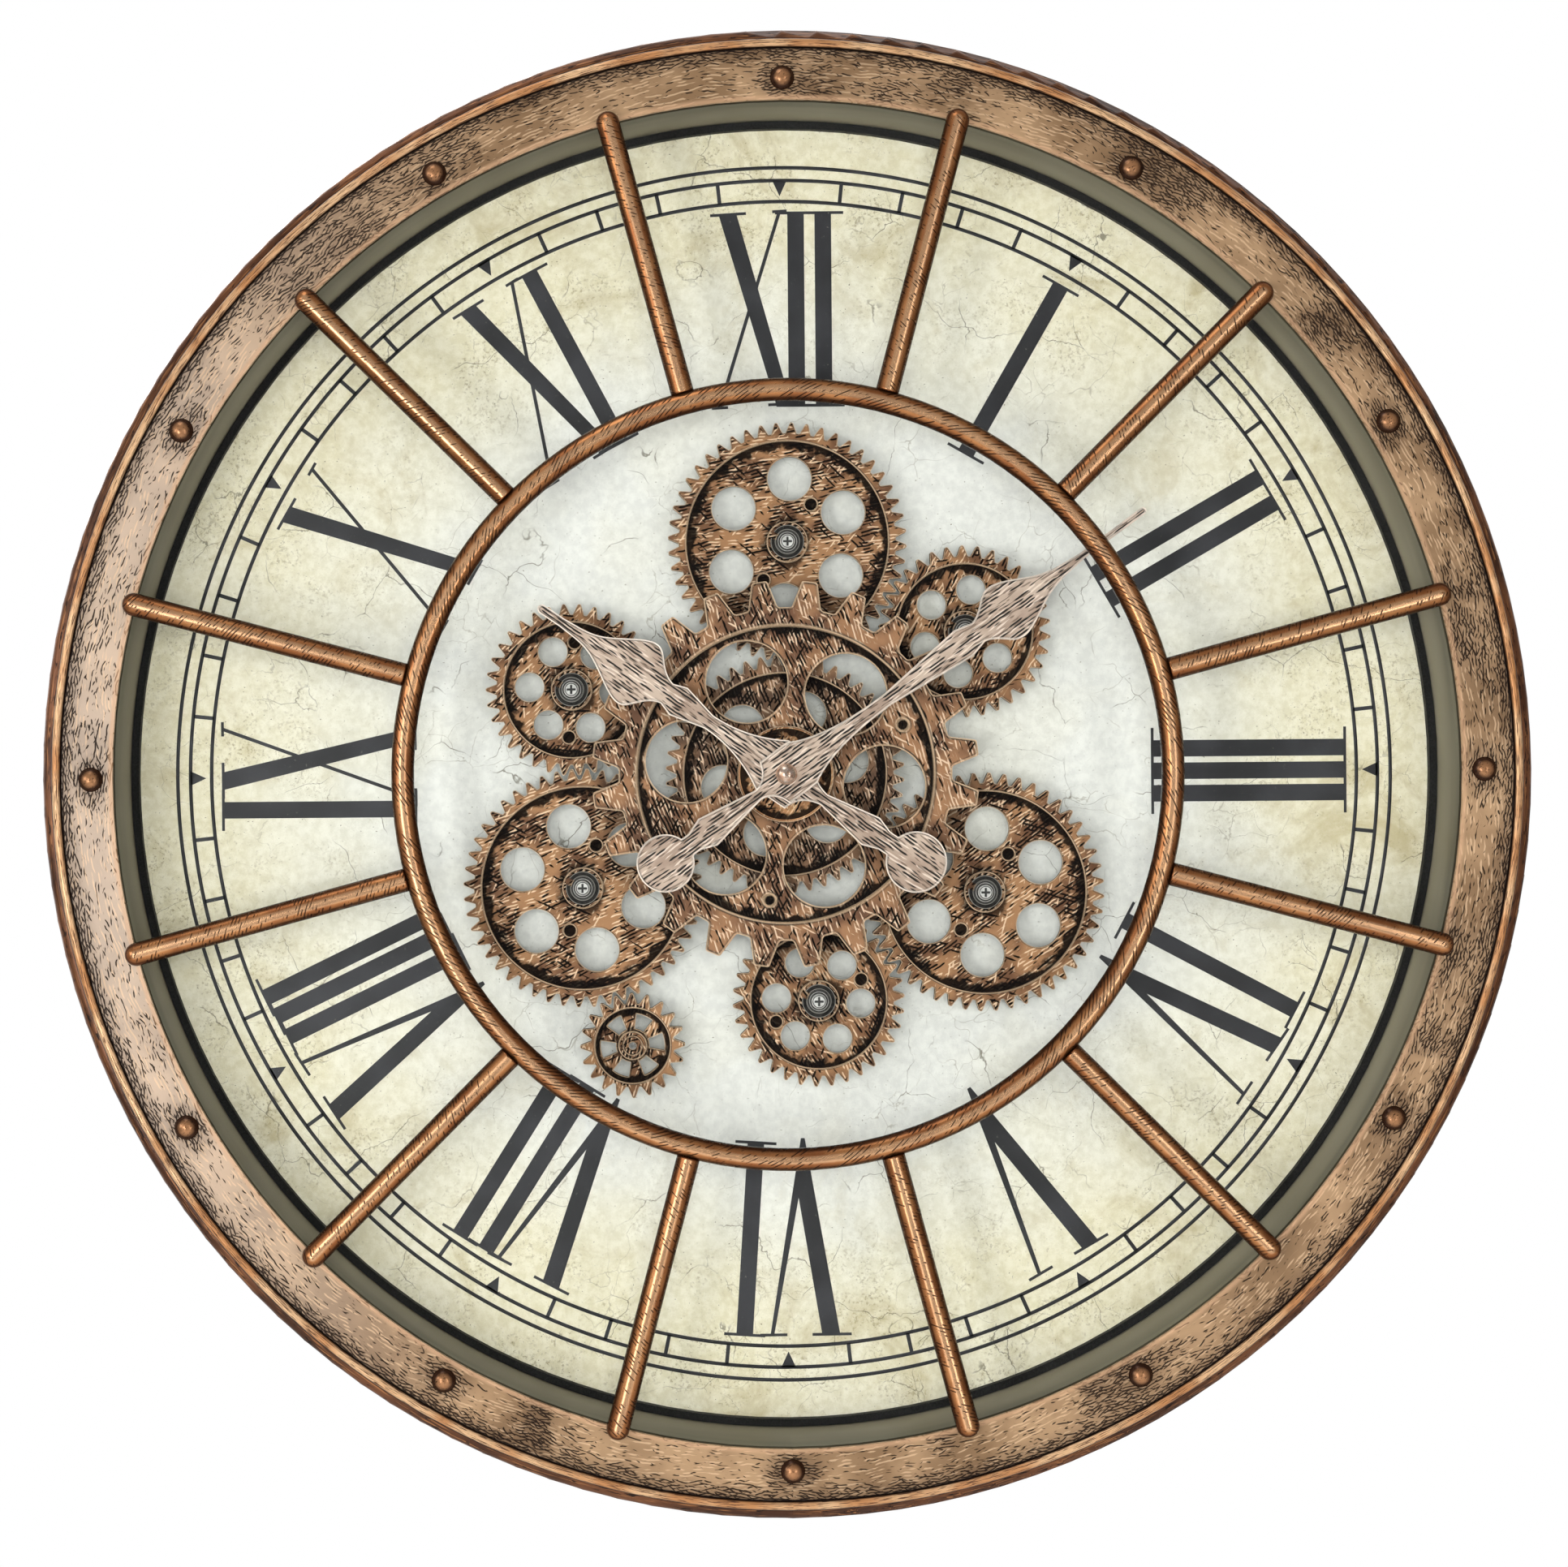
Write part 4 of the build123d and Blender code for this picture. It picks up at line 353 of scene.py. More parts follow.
def cast_copper(name, centre, bearing, rim, boss, front, stroke=6.0, start=0.485, worn=1.1,
                shades=("#6c4830", "#ad7f58", "#f2d3b0"), painted_shade_under=0.85):
    """Cast gear in black with copper dry-brushed over it: fine straight strokes one way and some across; a
    black ring inside the rim and round the boss, where the brush left black and which is also painted shade of
    the rim and the boss; black dimples and walls; painted shade on the places under other parts; and along its
    corners a thin black line of painted shade with a bright edge outside it, worn and painted as a highlight.
    worn is how far in, in millimetres, that line goes."""
    made, tree = new_material(name)
    coords = about(tree, centre, bearing)
    _, _, far = hoop(tree, coords, 1.0)
    swept = bent(tree, coords, 6.0, 1.6)
    clouds = patches(tree, coords, 15, 0.36, 0.66, 3.0)
    rubbed = [dashes(tree, swept, 1.4, 0.6, stroke, low, turn) for turn, low in ((7, 0.48), (-38, 0.56))]
    within = add(tree, "ShaderNodeMath", {0: far, 1: rim}, operation="LESS_THAN")
    bias = add(tree, "ShaderNodeMath", {0: clouds, 1: -0.13, 2: 0.02}, operation="MULTIPLY_ADD")
    bias = add(tree, "ShaderNodeMath", {0: within, 1: 0.05, 2: bias}, operation="MULTIPLY_ADD")
    marks = strongest(tree, [dashes(tree, swept, pitch, 0.8, stroke, start + extra, turn, bias)
                             for pitch, turn, extra in ((1.4, 0.0, 0.0), (1.7, 55.0, 0.06))])
    wobble = patches(tree, coords, 4, 0.3, 0.7, 3.0)
    # Painted shade: a black ring inside the rim and round the boss, where the brush left black and the rim and
    # the boss cast shade.
    out_reach = add(tree, "ShaderNodeMath", {0: wobble, 1: 3.2, 2: far}, operation="MULTIPLY_ADD")
    groove = add(tree, "ShaderNodeMapRange", {0: out_reach, 1: rim - 2.6, 2: rim - 1.0})
    groove = add(tree, "ShaderNodeMath", {0: groove, 1: within}, operation="MULTIPLY")
    in_reach = add(tree, "ShaderNodeMath", {0: wobble, 1: -3.0, 2: far}, operation="MULTIPLY_ADD")
    boss_black_and_shade = add(tree, "ShaderNodeMapRange", {0: in_reach, 1: boss + 1.6, 2: boss - 0.6, 4: 0.8})
    outside = add(tree, "ShaderNodeMath", {0: far, 1: boss}, operation="GREATER_THAN")
    boss_black_and_shade = add(tree, "ShaderNodeMath", {0: boss_black_and_shade, 1: outside}, operation="MULTIPLY")
    depth = add(tree, "ShaderNodeSeparateXYZ", {0: coords}, out=1)
    pocket = add(tree, "ShaderNodeMapRange", {0: depth, 1: POCKET[0] - front, 2: POCKET[1] - front})
    wall = add(tree, "ShaderNodeMapRange", {0: outward(tree), 1: 0.75, 2: 0.35})
    dark = strongest(tree, [groove, boss_black_and_shade, pocket, wall])
    # Along the corners: a thin black line of painted shade, and outside it a bright edge, worn and painted as a
    # highlight.
    turned = corner_turn(tree, worn)
    line = add(tree, "ShaderNodeMapRange", {0: turned, 1: 0.002, 2: 0.012})
    edge = add(tree, "ShaderNodeMapRange", {0: turned, 1: 0.08, 2: 0.14})
    ground, patch, bright = shades
    # Painted shade: black where another part lies close in front of or beside the gear.
    under = sheltered(tree, 13.0, 0.25, 0.98)
    tone = coats(tree, ground, (clouds, 1, patch), *((mask, 0.88, bright) for mask in rubbed),
                 (marks, 1, "#130f0d"), (dark, 0.96, GEAR_BLACK), (under, painted_shade_under, GEAR_BLACK),
                 (line, 0.95, "#120d0b"), (edge, 0.85, "#efcda8"))
    black = strongest(tree, [marks, dark])
    rough = add(tree, "ShaderNodeMapRange", {0: black, 3: 0.38, 4: 0.75})
    sheen = add(tree, "ShaderNodeMapRange", {0: black, 3: 0.5, 4: 0.1})
    surface(tree, tone, rough, 0.35, (marks, -0.10, 0.6), Specular_IOR_Level=sheen)
    return made


def brushed_rose(name, bearing):
    """Stamped hand in rose copper with a black wash: long fine dashes along the hand, black and pale, a dark
    line round it that is painted shade, and bright cut edges that are also painted as a highlight."""
    made, tree = new_material(name)
    coords = about(tree, bearing=bearing)
    swept = bent(tree, coords, 7.0, 1.0)
    clouds = patches(tree, coords, (9, 9, 16), 0.35, 0.68)
    pale = dashes(tree, swept, pitch=1.5, width=0.7, length=10.0, start=0.48, turn=-3.0)
    faint = dashes(tree, swept, pitch=1.7, width=0.7, length=6.0, start=0.46, turn=5.0)
    marks = dashes(tree, swept, pitch=1.3, width=0.72, length=9.0, start=0.46, turn=1.0)
    # Along the edges: a dark line of painted shade and a bright edge that is also a painted highlight.
    turned = corner_turn(tree, 2.0)
    line = add(tree, "ShaderNodeMapRange", {0: turned, 1: 0.002, 2: 0.010})
    edge = add(tree, "ShaderNodeMapRange", {0: turned, 1: 0.05, 2: 0.09})
    tone = coats(tree, "#b09786", (clouds, 1, "#d2bba9"), (pale, 0.7, "#fbeadb"), (faint, 0.65, "#5a4538"),
                 (marks, 1, "#150f0c"), (line, 0.80, "#2b1f1a"), (edge, 1, "#fdeee0"))
    rough = add(tree, "ShaderNodeMapRange", {0: marks, 3: 0.36, 4: 0.6})
    surface(tree, tone, rough, 0.35, (marks, -0.06, 0.5))
    return made


def domed_rivet(name):
    """Rivet head in dark antique copper, painted lighter at the middle of the dome as a highlight and near
    black round its edge as shade.
    """
    made, tree = new_material(name)
    face = outward(tree)
    # Painted light: top is a painted highlight on the middle of the dome, and rim is painted shade round its
    # edge.
    top = add(tree, "ShaderNodeMapRange", {0: face, 1: 0.72, 2: 0.99}, interpolation_type="SMOOTHSTEP")
    rim = add(tree, "ShaderNodeMapRange", {0: face, 1: 0.62, 2: 0.35})
    flecks = patches(tree, about(tree), (0.5, 0.5, 1.6), 0.57, 0.66, 3.0, 0.6, 0.4, 40)
    tone = coats(tree, "#402616", (top, 1, "#c08a60"), (rim, 1, "#170d08"), (flecks, 0.85, "#1b100a"))
    surface(tree, tone, 0.27, 0.6, (flecks, -0.06, 0.5))
    return made


wear(antique_bezel("hammered antique copper paint"), "bezel_plate")
wear(antique_band("brown lacquered copper band"), "side_band")
wear(antique_bead("rubbed copper bead"), "edge_bead")
wear(rubbed_bar_painted_light("rubbed antique copper rods with painted light", rod_mm, 3.0, 122.0, 0.53), "grille_rods")
wear(rubbed_bar_painted_light("rubbed antique copper ring with painted light", ring_mm, 5.0, 30.0, 0.49, "#28160c"), "grille_ring")
wear(domed_rivet("antique copper rivet"), "bezel_rivets")

# centre, bearing of the brushing, inside of the rim, radius of the boss
GEARS = {
    "gear_top": ((1.7, 97.2), 78.0, 42.5, 8.4), "gear_lower_right": ((83.3, -50.1), 52.0, 42.5, 8.4),
    "gear_lower_left": ((-85.0, -47.1), 64.0, 42.5, 8.4), "gear_upper_right": ((75.7, 59.2), 25.0, 28.5, 8.4),
    "gear_bottom": ((13.4, -95.1), -35.0, 28.5, 8.4), "gear_upper_left": ((-89.1, 36.0), 40.0, 28.5, 8.4),
    "drive_pinion": ((-64.7, -113.3), 12.0, 15.9, 5.8),
}
AXIS = (0.0, 0.0)
GEAR_FRONT, COARSE_FRONT, HUB_FRONT = 42.0, 50.0, 51.4      # from the wall
for gear, (centre, brushing, rim, boss) in GEARS.items():
    wear(cast_copper(f"copper brushed over black, {gear}", centre, brushing, rim, boss, GEAR_FRONT), gear)
wear(cast_copper("copper brushed over black, fine centre gear", AXIS, -20, 42.5, 13.0, GEAR_FRONT,
                 start=0.465, shades=("#5c4333", "#9d7555", "#ecceb0")), "centre_gear_fine")
wear(cast_copper("copper brushed over black, coarse centre gear", AXIS, -24, 62.1, 17.0, COARSE_FRONT,
                 stroke=6.5, worn=2.2, shades=("#6c4a35", "#a87b58", "#f2d5b6")), "centre_gear_coarse")
wear(cast_copper("copper brushed over black, hub", AXIS, 30, 19.0, 9.0, HUB_FRONT, stroke=5.0, start=0.56,
                 shades=("#a8754c", "#d39d6d", "#f6d3a8"), painted_shade_under=0.3), "centre_hub", "centre_disc")
HOUR_BEARING, MINUTE_BEARING = 304.5, 54.0                  # where the hands point, degrees
wear(brushed_rose("brushed rose copper, hour hand", HOUR_BEARING), "hour_hand")
wear(brushed_rose("brushed rose copper, minute hand", MINUTE_BEARING), "minute_hand")


# ---------------------------------------------------------------- plain finishes
POST_REACH = 7.2                 # about the axis of a post, just past its clip


def from_posts(tree, coords):
    """Place about the nearest of the six posts, for points within reach of it, and the distance from its
    axis."""
    total = (0.0, 0.0, 0.0)
    flat = add(tree, "ShaderNodeVectorMath", {0: coords, 1: (1.0, 0.0, 1.0)}, operation="MULTIPLY")
    for gear, ((x, z), *_) in GEARS.items():
        if gear == "drive_pinion":
            continue
        here = add(tree, "ShaderNodeVectorMath", {0: flat, 1: (x, 0.0, z)}, operation="SUBTRACT")
        length = add(tree, "ShaderNodeVectorMath", {0: here}, out=1, operation="LENGTH")
        close = add(tree, "ShaderNodeMath", {0: length, 1: POST_REACH}, operation="LESS_THAN")
        total = add(tree, "ShaderNodeVectorMath", {0: here, 1: close, 2: total}, operation="MULTIPLY_ADD")
    return total, add(tree, "ShaderNodeVectorMath", {0: total}, out=1, operation="LENGTH")


CROSS_WIDTH = 0.52, 0.40         # half the width of a recess's arm at its edge and at its bottom
CROSS_REACH = 2.0, 1.85          # how far out it is cut, at its edge and at its bottom


def lathe_steel(name, colour, rings, cross=False, line="#161413", metallic=0.7):
    """Turned steel end seen square on: rings where a step or a chamfer is, and a cross recess in a screw, all
    painted in the colour line: dark painted shade on bright steel, pale painted glints on blackened steel. A
    ring is its radius and half its width."""
    made, tree = new_material(name)
    coords = about(tree)
    here, far = from_posts(tree, coords)
    lines = [band_mask(tree, far, radius - half, radius + half, 0.12) for radius, half in rings]
    if cross:
        x, z = (add(tree, "ShaderNodeSeparateXYZ", {0: here}, out=i) for i in (0, 2))
        x, z = (add(tree, "ShaderNodeMath", {0: side}, operation="ABSOLUTE") for side in (x, z))
        thin = add(tree, "ShaderNodeMath", {0: x, 1: z}, operation="MINIMUM")
        thin = add(tree, "ShaderNodeMapRange", {0: thin, 1: CROSS_WIDTH[0], 2: CROSS_WIDTH[1]})
        short = add(tree, "ShaderNodeMapRange", {0: far, 1: CROSS_REACH[0], 2: CROSS_REACH[1]})
        lines.append(add(tree, "ShaderNodeMath", {0: thin, 1: short}, operation="MULTIPLY"))
    # The rings and the cross are painted light: shade on bright steel, glints on blackened steel.
    marks = strongest(tree, lines)
    dull = patches(tree, coords, 1.2, 0.35, 0.7, 3.0)
    surface(tree, coats(tree, colour, (dull, 0.3, "#4f4b46"), (marks, 0.92, line)), 0.34, metallic,
            (marks, -0.15, 0.7))
    return made


def turned_metal(name, colour, roughness, grain, stain="#8c8880"):
    """Plated or turned metal: faint rings or grain of the tool and a few duller stains."""
    made, tree = new_material(name)
    coords = about(tree)
    dull = patches(tree, coords, 4, 0.5, 0.8, 3.0)
    lines = patches(tree, coords, grain, 0.3, 0.7)
    rough = add(tree, "ShaderNodeMapRange", {0: lines, 3: roughness * 0.8, 4: roughness * 1.25})
    surface(tree, coats(tree, colour, (dull, 0.25, stain)), rough, 1.0, (lines, 0.02, 0.4))
    return made


def moulded(name, colour, roughness, grain, depth, second):
    """Moulded or sprayed skin: fine spark-eroded or orange-peel grain and slight unevenness of tone."""
    made, tree = new_material(name)
    coords = about(tree)
    grains = patches(tree, coords, grain, 0.3, 0.7)
    uneven = patches(tree, coords, 22, 0.35, 0.7)
    rough = add(tree, "ShaderNodeMapRange", {0: grains, 3: roughness * 0.85, 4: min(1.0, roughness * 1.15)})
    surface(tree, coats(tree, colour, (uneven, 0.6, second)), rough, 0.0, (grains, depth, 0.5))
    return made


def polished_rose(name):
    """Turned and polished nut: bright rose copper with fine rings of the lathe, 0.7 mm apart, far coarser than
    the real 0.1 mm so that they show."""
    made, tree = new_material(name)
    coords = about(tree)
    _, _, far = hoop(tree, coords, 1.0)
    rings = add(tree, "ShaderNodeMath", {0: far, 1: 9.0}, operation="MULTIPLY")
    wave = add(tree, "ShaderNodeMath", {0: rings}, operation="SINE")
    dull = patches(tree, coords, 2, 0.4, 0.7)
    rough = add(tree, "ShaderNodeMapRange", {0: dull, 3: 0.18, 4: 0.32})
    surface(tree, coats(tree, "#f3d9c8", (dull, 1, "#d3a68c")), rough, 0.9, (wave, 0.02, 0.4))
    return made


wear(polished_rose("polished rose copper nut"), "hand_nut")
wear(turned_metal("zinc plated steel", "#a9a9a6", 0.32, (0.3, 3, 0.3)), "board_screws", "drive_screws",
     "movement_washer", "drive_shaft")
wear(lathe_steel("zinc plated screw heads", "#d9d8d4", [(2.55, 0.12)], True, metallic=0.3), "gear_screws")
wear(lathe_steel("turned steel posts", "#a9a7a3", [(3.45, 0.22), (4.4, 0.25)], metallic=0.35), "gear_posts")
wear(turned_metal("bright turned steel", "#b4b4b2", 0.25, (4, 0.3, 4)), "minute_arbor", "drive_motor")
wear(moulded("black oxide steel", "#24211f", 0.38, 0.8, 0.02, "#3a3531"), "centre_bearing")
wear(lathe_steel("blackened spring steel", "#121110", [(5.1, 0.12), (6.85, 0.10)], line="#8b8780",
                 metallic=0.3), "gear_clips")
wear(turned_metal("turned brass", "#c9a455", 0.28, (0.3, 3, 0.3), "#8a6b36"), "movement_nut",
     "movement_contacts", "drive_contacts")
wear(moulded("black rubber seal", "#0c0c0c", 0.75, 0.8, 0.04, "#171717"), "glass_gasket", "dial_edge_seal")
wear(moulded("black powder coat", "#191818", 0.5, 0.7, 0.06, "#222120"), "board_clips", "hanger_plate")
wear(moulded("black moulded ABS", "#161617", 0.48, 0.45, 0.03, "#1f1f20"), "movement_front_plate",
     "movement_rear_shell", "drive_housing", "drive_cover", "setting_knob", "drive_switch")
wear(moulded("natural acetal", "#dfddd3", 0.42, 0.6, 0.01, "#d2cfc2"), "hour_wheel", "minute_wheel",
     "third_wheel", "seconds_wheel", "intermediate_wheel")
wear(moulded("sintered magnet", "#3c3b3c", 0.5, 0.3, 0.02, "#2c2b2c"), "step_rotor")
wear(turned_metal("stamped soft iron", "#8d8f92", 0.4, (5, 5, 0.4)), "step_stator")
wear(turned_metal("enamelled copper winding", "#b5622f", 0.3, (0.25, 6, 6), "#7d3d1c"), "step_coil")
wear(moulded("green solder mask", "#17532f", 0.35, 0.9, 0.02, "#0f3f24"), "circuit_board")


LINER_RADIUS = 276.0


def satin_liner(name):
    """Rolled steel liner in satin olive-grey enamel, painted lighter towards the dial as painted light, and a
    few specks of dust.
    """
    made, tree = new_material(name)
    coords = about(tree)
    along, _, _ = hoop(tree, coords, LINER_RADIUS)
    soft = patches(tree, along, (60, 12, 12), 0.35, 0.7, 1.0)
    depth = add(tree, "ShaderNodeSeparateXYZ", {0: coords}, out=1)
    # Painted light: the liner is lighter towards the dial.
    rear = add(tree, "ShaderNodeMapRange", {0: depth, 1: -FRONT + 12.0, 2: -DIAL - 6.0})
    dust = patches(tree, along, 0.7, 0.80, 0.84, 1.0)
    peel = patches(tree, along, 1.6, 0.3, 0.7)
    tone = coats(tree, "#4b4537", (soft, 1, "#5e5848"), (rear, 1, "#978f7b"), (dust, 1, "#b9b6a8"))
    surface(tree, tone, 0.42, 0.0, (peel, 0.02, 0.4))
    return made


CREAM_FROM, CREAM_FULL = 135.0, 255.0    # radii between which the dial turns from grey white to cream


def cracked_plaster(name):
    """Printed dial sheet with the look of old plaster: grey white in the middle, cream and olive-brown stains
    towards the rim, fine branching cracks and specks."""
    made, tree = new_material(name)
    coords = about(tree)
    _, _, far = hoop(tree, coords, 1.0)
    rim = add(tree, "ShaderNodeMapRange", {0: far, 1: CREAM_FROM, 2: CREAM_FULL},
              interpolation_type="SMOOTHSTEP")
    drift = patches(tree, coords, 70, 0.3, 0.7, 3.0, 0.6)
    cream = add(tree, "ShaderNodeMath", {0: drift, 1: 0.4, 2: -0.2}, operation="MULTIPLY_ADD")
    cream = add(tree, "ShaderNodeMath", {0: rim, 1: cream}, operation="ADD", use_clamp=True)
    mottle = patches(tree, coords, 4, 0.36, 0.64, 6.0, 0.75)
    clouds = patches(tree, coords, 38, 0.50, 0.72, 5.0, 0.68, 0.8)
    stain = add(tree, "ShaderNodeMath", {0: clouds, 1: rim}, operation="MULTIPLY")
    grit = patches(tree, coords, 1.4, 0.52, 0.64, 3.0, 0.75)
    where = patches(tree, coords, 24, 0.46, 0.62, 5.0, 0.7)
    grit = add(tree, "ShaderNodeMath", {0: grit, 1: where}, operation="MULTIPLY")
    grit = add(tree, "ShaderNodeMath", {0: grit, 1: cream}, operation="MULTIPLY")
    moved = bent(tree, bent(tree, coords, 26.0, 26.0), 3.0, 2.2)
    cracks = []
    # size of the plates between cracks, where a crack begins and is full, and the patches that have cracks
    for plate, faint, full, spread in ((44.0, 0.0050, 0.0012, (24, 0.47, 0.60)),
                                       (17.0, 0.0100, 0.0030, (30, 0.50, 0.62, 3.0))):
        lines = add(tree, "ShaderNodeTexVoronoi", {"Vector": moved, "Scale": 1 / plate},
                    feature="DISTANCE_TO_EDGE")
        crack = add(tree, "ShaderNodeMapRange", {0: lines, 1: faint, 2: full})
        some = patches(tree, coords, *spread)
        cracks.append(add(tree, "ShaderNodeMath", {0: crack, 1: some}, operation="MULTIPLY"))
    wide, hair = cracks
    specks = patches(tree, coords, 0.9, 0.74, 0.79, 1.0)
    mottled = coats(tree, "#cfcfca", (cream, 1, "#d0c8a6"))
    tone = coats(tree, "#e2e2dc", (cream, 1, "#e4dec6"), (mottle, 0.75, mottled), (stain, 0.70, "#b3a57a"),
                 (grit, 0.6, "#85764c"), (wide, 0.75, "#5f5743"), (hair, 0.42, "#75694c"),
                 (specks, 1, "#77705a"))
    surface(tree, tone, 0.55, 0.0, (wide, -0.05, 0.4))
    return made


def raw_fibreboard(name):
    """Medium-density fibreboard: warm brown felt of short fibres with darker flecks."""
    made, tree = new_material(name)
    coords = about(tree)
    felt = patches(tree, coords, (1.4, 1.4, 5.0), 0.3, 0.7, 4.0, 0.6, turn=30)
    cross = patches(tree, coords, (4.5, 1.4, 1.2), 0.3, 0.7, 4.0, 0.6, turn=12)
    flecks = patches(tree, coords, (0.8, 0.8, 2.4), 0.70, 0.78, 1.0, turn=50)
    tone = coats(tree, "#8f6f4b", (felt, 1, "#a98760"), (cross, 1, "#9c7a53"), (flecks, 1, "#5f452c"))
    surface(tree, tone, 0.85, 0.0, (felt, 0.06, 0.5))
    return made


SLEEVE_END = 23.8, 24.0          # half the length of the sleeve on a cell, where the steel starts and is bare
COPPER_BAND = 15.9, 16.0         # from its middle to the copper bands


def cell_sleeve(name, middle_x):
    """Dry cell in a shrink sleeve: charcoal with copper bands at its ends and bright steel past them."""
    made, tree = new_material(name)
    coords = about(tree, (middle_x, 0))
    x = add(tree, "ShaderNodeSeparateXYZ", {0: coords})
    out_from = add(tree, "ShaderNodeMath", {0: x}, operation="ABSOLUTE")
    ends, band = (add(tree, "ShaderNodeMapRange", {0: out_from, 1: begin, 2: full})
                  for begin, full in (SLEEVE_END, COPPER_BAND))
    scuffs = patches(tree, coords, (3, 0.8, 0.8), 0.62, 0.75)
    tone = coats(tree, "#25262a", (band, 1, "#b9793f"), (scuffs, 1, "#55565a"), (ends, 1, "#b9b9b7"))
    rough = add(tree, "ShaderNodeMapRange", {0: scuffs, 3: 0.25, 4: 0.45})
    surface(tree, tone, rough, ends)
    return made


def clear_pane(name):
    """Float glass with a coating that mirrors next to nothing, hence the low IOR, and a few faint smears. Lamps
    shine through it to the dial."""
    made, tree = new_material(name)
    smears = patches(tree, about(tree), 30, 0.4, 0.8)
    rough = add(tree, "ShaderNodeMapRange", {0: smears, 3: 0.0, 4: 0.05})
    tint = srgb("#fdfefd")
    glassy = add(tree, "ShaderNodeBsdfPrincipled", {"Base Color": tint, "Roughness": rough, "IOR": 1.12,
                                                    "Transmission Weight": 1.0})
    clear = add(tree, "ShaderNodeBsdfTransparent", {"Color": tint})
    lamp_ray = add(tree, "ShaderNodeLightPath", out="Is Shadow Ray")
    pane = add(tree, "ShaderNodeMixShader", {0: lamp_ray, 1: glassy, 2: clear})
    add(tree, "ShaderNodeOutputMaterial", {"Surface": pane})
    return made


wear(satin_liner("satin olive-grey enamel"), "spacer_liner")
wear(cracked_plaster("printed old plaster"), "dial_sheet")
wear(raw_fibreboard("raw fibreboard"), "dial_board")
wear(cell_sleeve("dry cell sleeve, movement", 0.0), "movement_cell")
wear(cell_sleeve("dry cell sleeve, drive", GEARS["drive_pinion"][0][0]), "drive_cells")
wear(clear_pane("clear float glass"), "glass")


# ---------------------------------------------------------------- the print on the dial
INK_LIFT = 0.02                  # ink above the dial sheet, so that the two faces never coincide
INK_SHEET = 0.06
NUMERAL_TOP, NUMERAL_FOOT = 237.8, 155.2     # radii of the outer edges of the serifs
SERIF = 1.2
HAIR_STROKE = 1.5515             # thin stroke of the X
INTO_SERIF = 1.0                 # how far in from those edges a stroke ends
MIDDLE = (NUMERAL_TOP + NUMERAL_FOOT) / 2


def printing_ink(name):
    """Screen-printed ink: charcoal, a little uneven, with pinholes where the plaster shows."""
    made, tree = new_material(name)
    coords = about(tree)
    uneven = patches(tree, coords, 26, 0.35, 0.7, 3.0)
    worn = patches(tree, coords, 1.3, 0.66, 0.80, 3.0, 0.7)
    surface(tree, coats(tree, "#222224", (uneven, 1, "#323236"), (worn, 1, "#77756c")), 0.5)
    return made


def bar(u_low, u_high, top):
    """Serif: a thin bar whose outer edge is at a radius."""
    return [(u_low, top - SERIF), (u_high, top - SERIF), (u_high, top), (u_low, top)]


def stroke(u_top, u_foot, width):
    """Slanted stroke of a width between the serif radii."""
    half = width / 2
    foot, top = NUMERAL_FOOT + INTO_SERIF, NUMERAL_TOP - INTO_SERIF
    return [(u_foot - half, foot), (u_foot + half, foot), (u_top + half, top), (u_top - half, top)]


# outlines of the letters: tangent and radius of each corner, before a letter is set aside and leant
GLYPHS = {
    "I": [stroke(0, 0, 7.0), bar(-8.7, 8.7, NUMERAL_TOP), bar(-8.7, 8.7, NUMERAL_FOOT + SERIF)],
    "V": [[(-14.6, 236.9), (-0.8, 154.1), (0.8, 154.1), (14.8, 236.9), (13.2, 236.9), (2.1, 179.4),
           (-7.0, 236.9)],
          bar(-19.5, -2.9, NUMERAL_TOP), bar(7.7, 19.2, NUMERAL_TOP)],
    "X": [[(-12.0, 236.9), (6.9, 156.0), (13.2, 156.0), (-4.5, 236.9)], stroke(13.5, -16.8, HAIR_STROKE),
          bar(-15.7, -0.5, NUMERAL_TOP), bar(10.6, 16.7, NUMERAL_TOP),
          bar(-20.3, -13.4, NUMERAL_FOOT + SERIF), bar(3.6, 15.8, NUMERAL_FOOT + SERIF)],
}
# letter, offset along the tangent, clockwise lean in degrees
NUMERALS = {
    1: [("I", 0, 0)], 2: [("I", -6.2, 0), ("I", 6.2, 0)], 3: [("I", -9.5, 0), ("I", 0, 0), ("I", 9.5, 0)],
    4: [("I", -18.4, -1.8), ("V", 4.6, 4.7)], 5: [("V", 0, 0)], 6: [("V", -7.0, -0.4), ("I", 15.8, 3.8)],
    7: [("V", -8.4, -2.2), ("I", 8.8, 2.3), ("I", 21.4, 2.3)],
    8: [("V", -14.0, -2.9), ("I", 7.4, 4.2), ("I", 17.4, 4.2), ("I", 26.5, 4.2)],
    9: [("I", -13.6, 0), ("X", 7.4, -0.5)], 10: [("X", 0, 0)], 11: [("X", -6.5, -1.4), ("I", 12.8, 2.2)],
    12: [("X", -11.4, -3.3), ("I", 6.7, 0), ("I", 18.2, 0)],
}


def numeral_outlines():
    """Outlines of the twelve numerals on the dial, their tops outward."""
    outlines = []
    for hour, letters in NUMERALS.items():
        bearing = radians(HOUR_STEP * hour)
        for letter, offset, lean in letters:
            lean = radians(lean)
            for outline in GLYPHS[letter]:
                placed = []
                for u, r in outline:
                    rise = r - MIDDLE
                    across = offset + u * cos(lean) + rise * sin(lean)
                    up = MIDDLE + rise * cos(lean) - u * sin(lean)
                    placed.append(Vector((across * cos(bearing) + up * sin(bearing),
                                          up * cos(bearing) - across * sin(bearing))))
                outlines.append(placed)
    return outlines


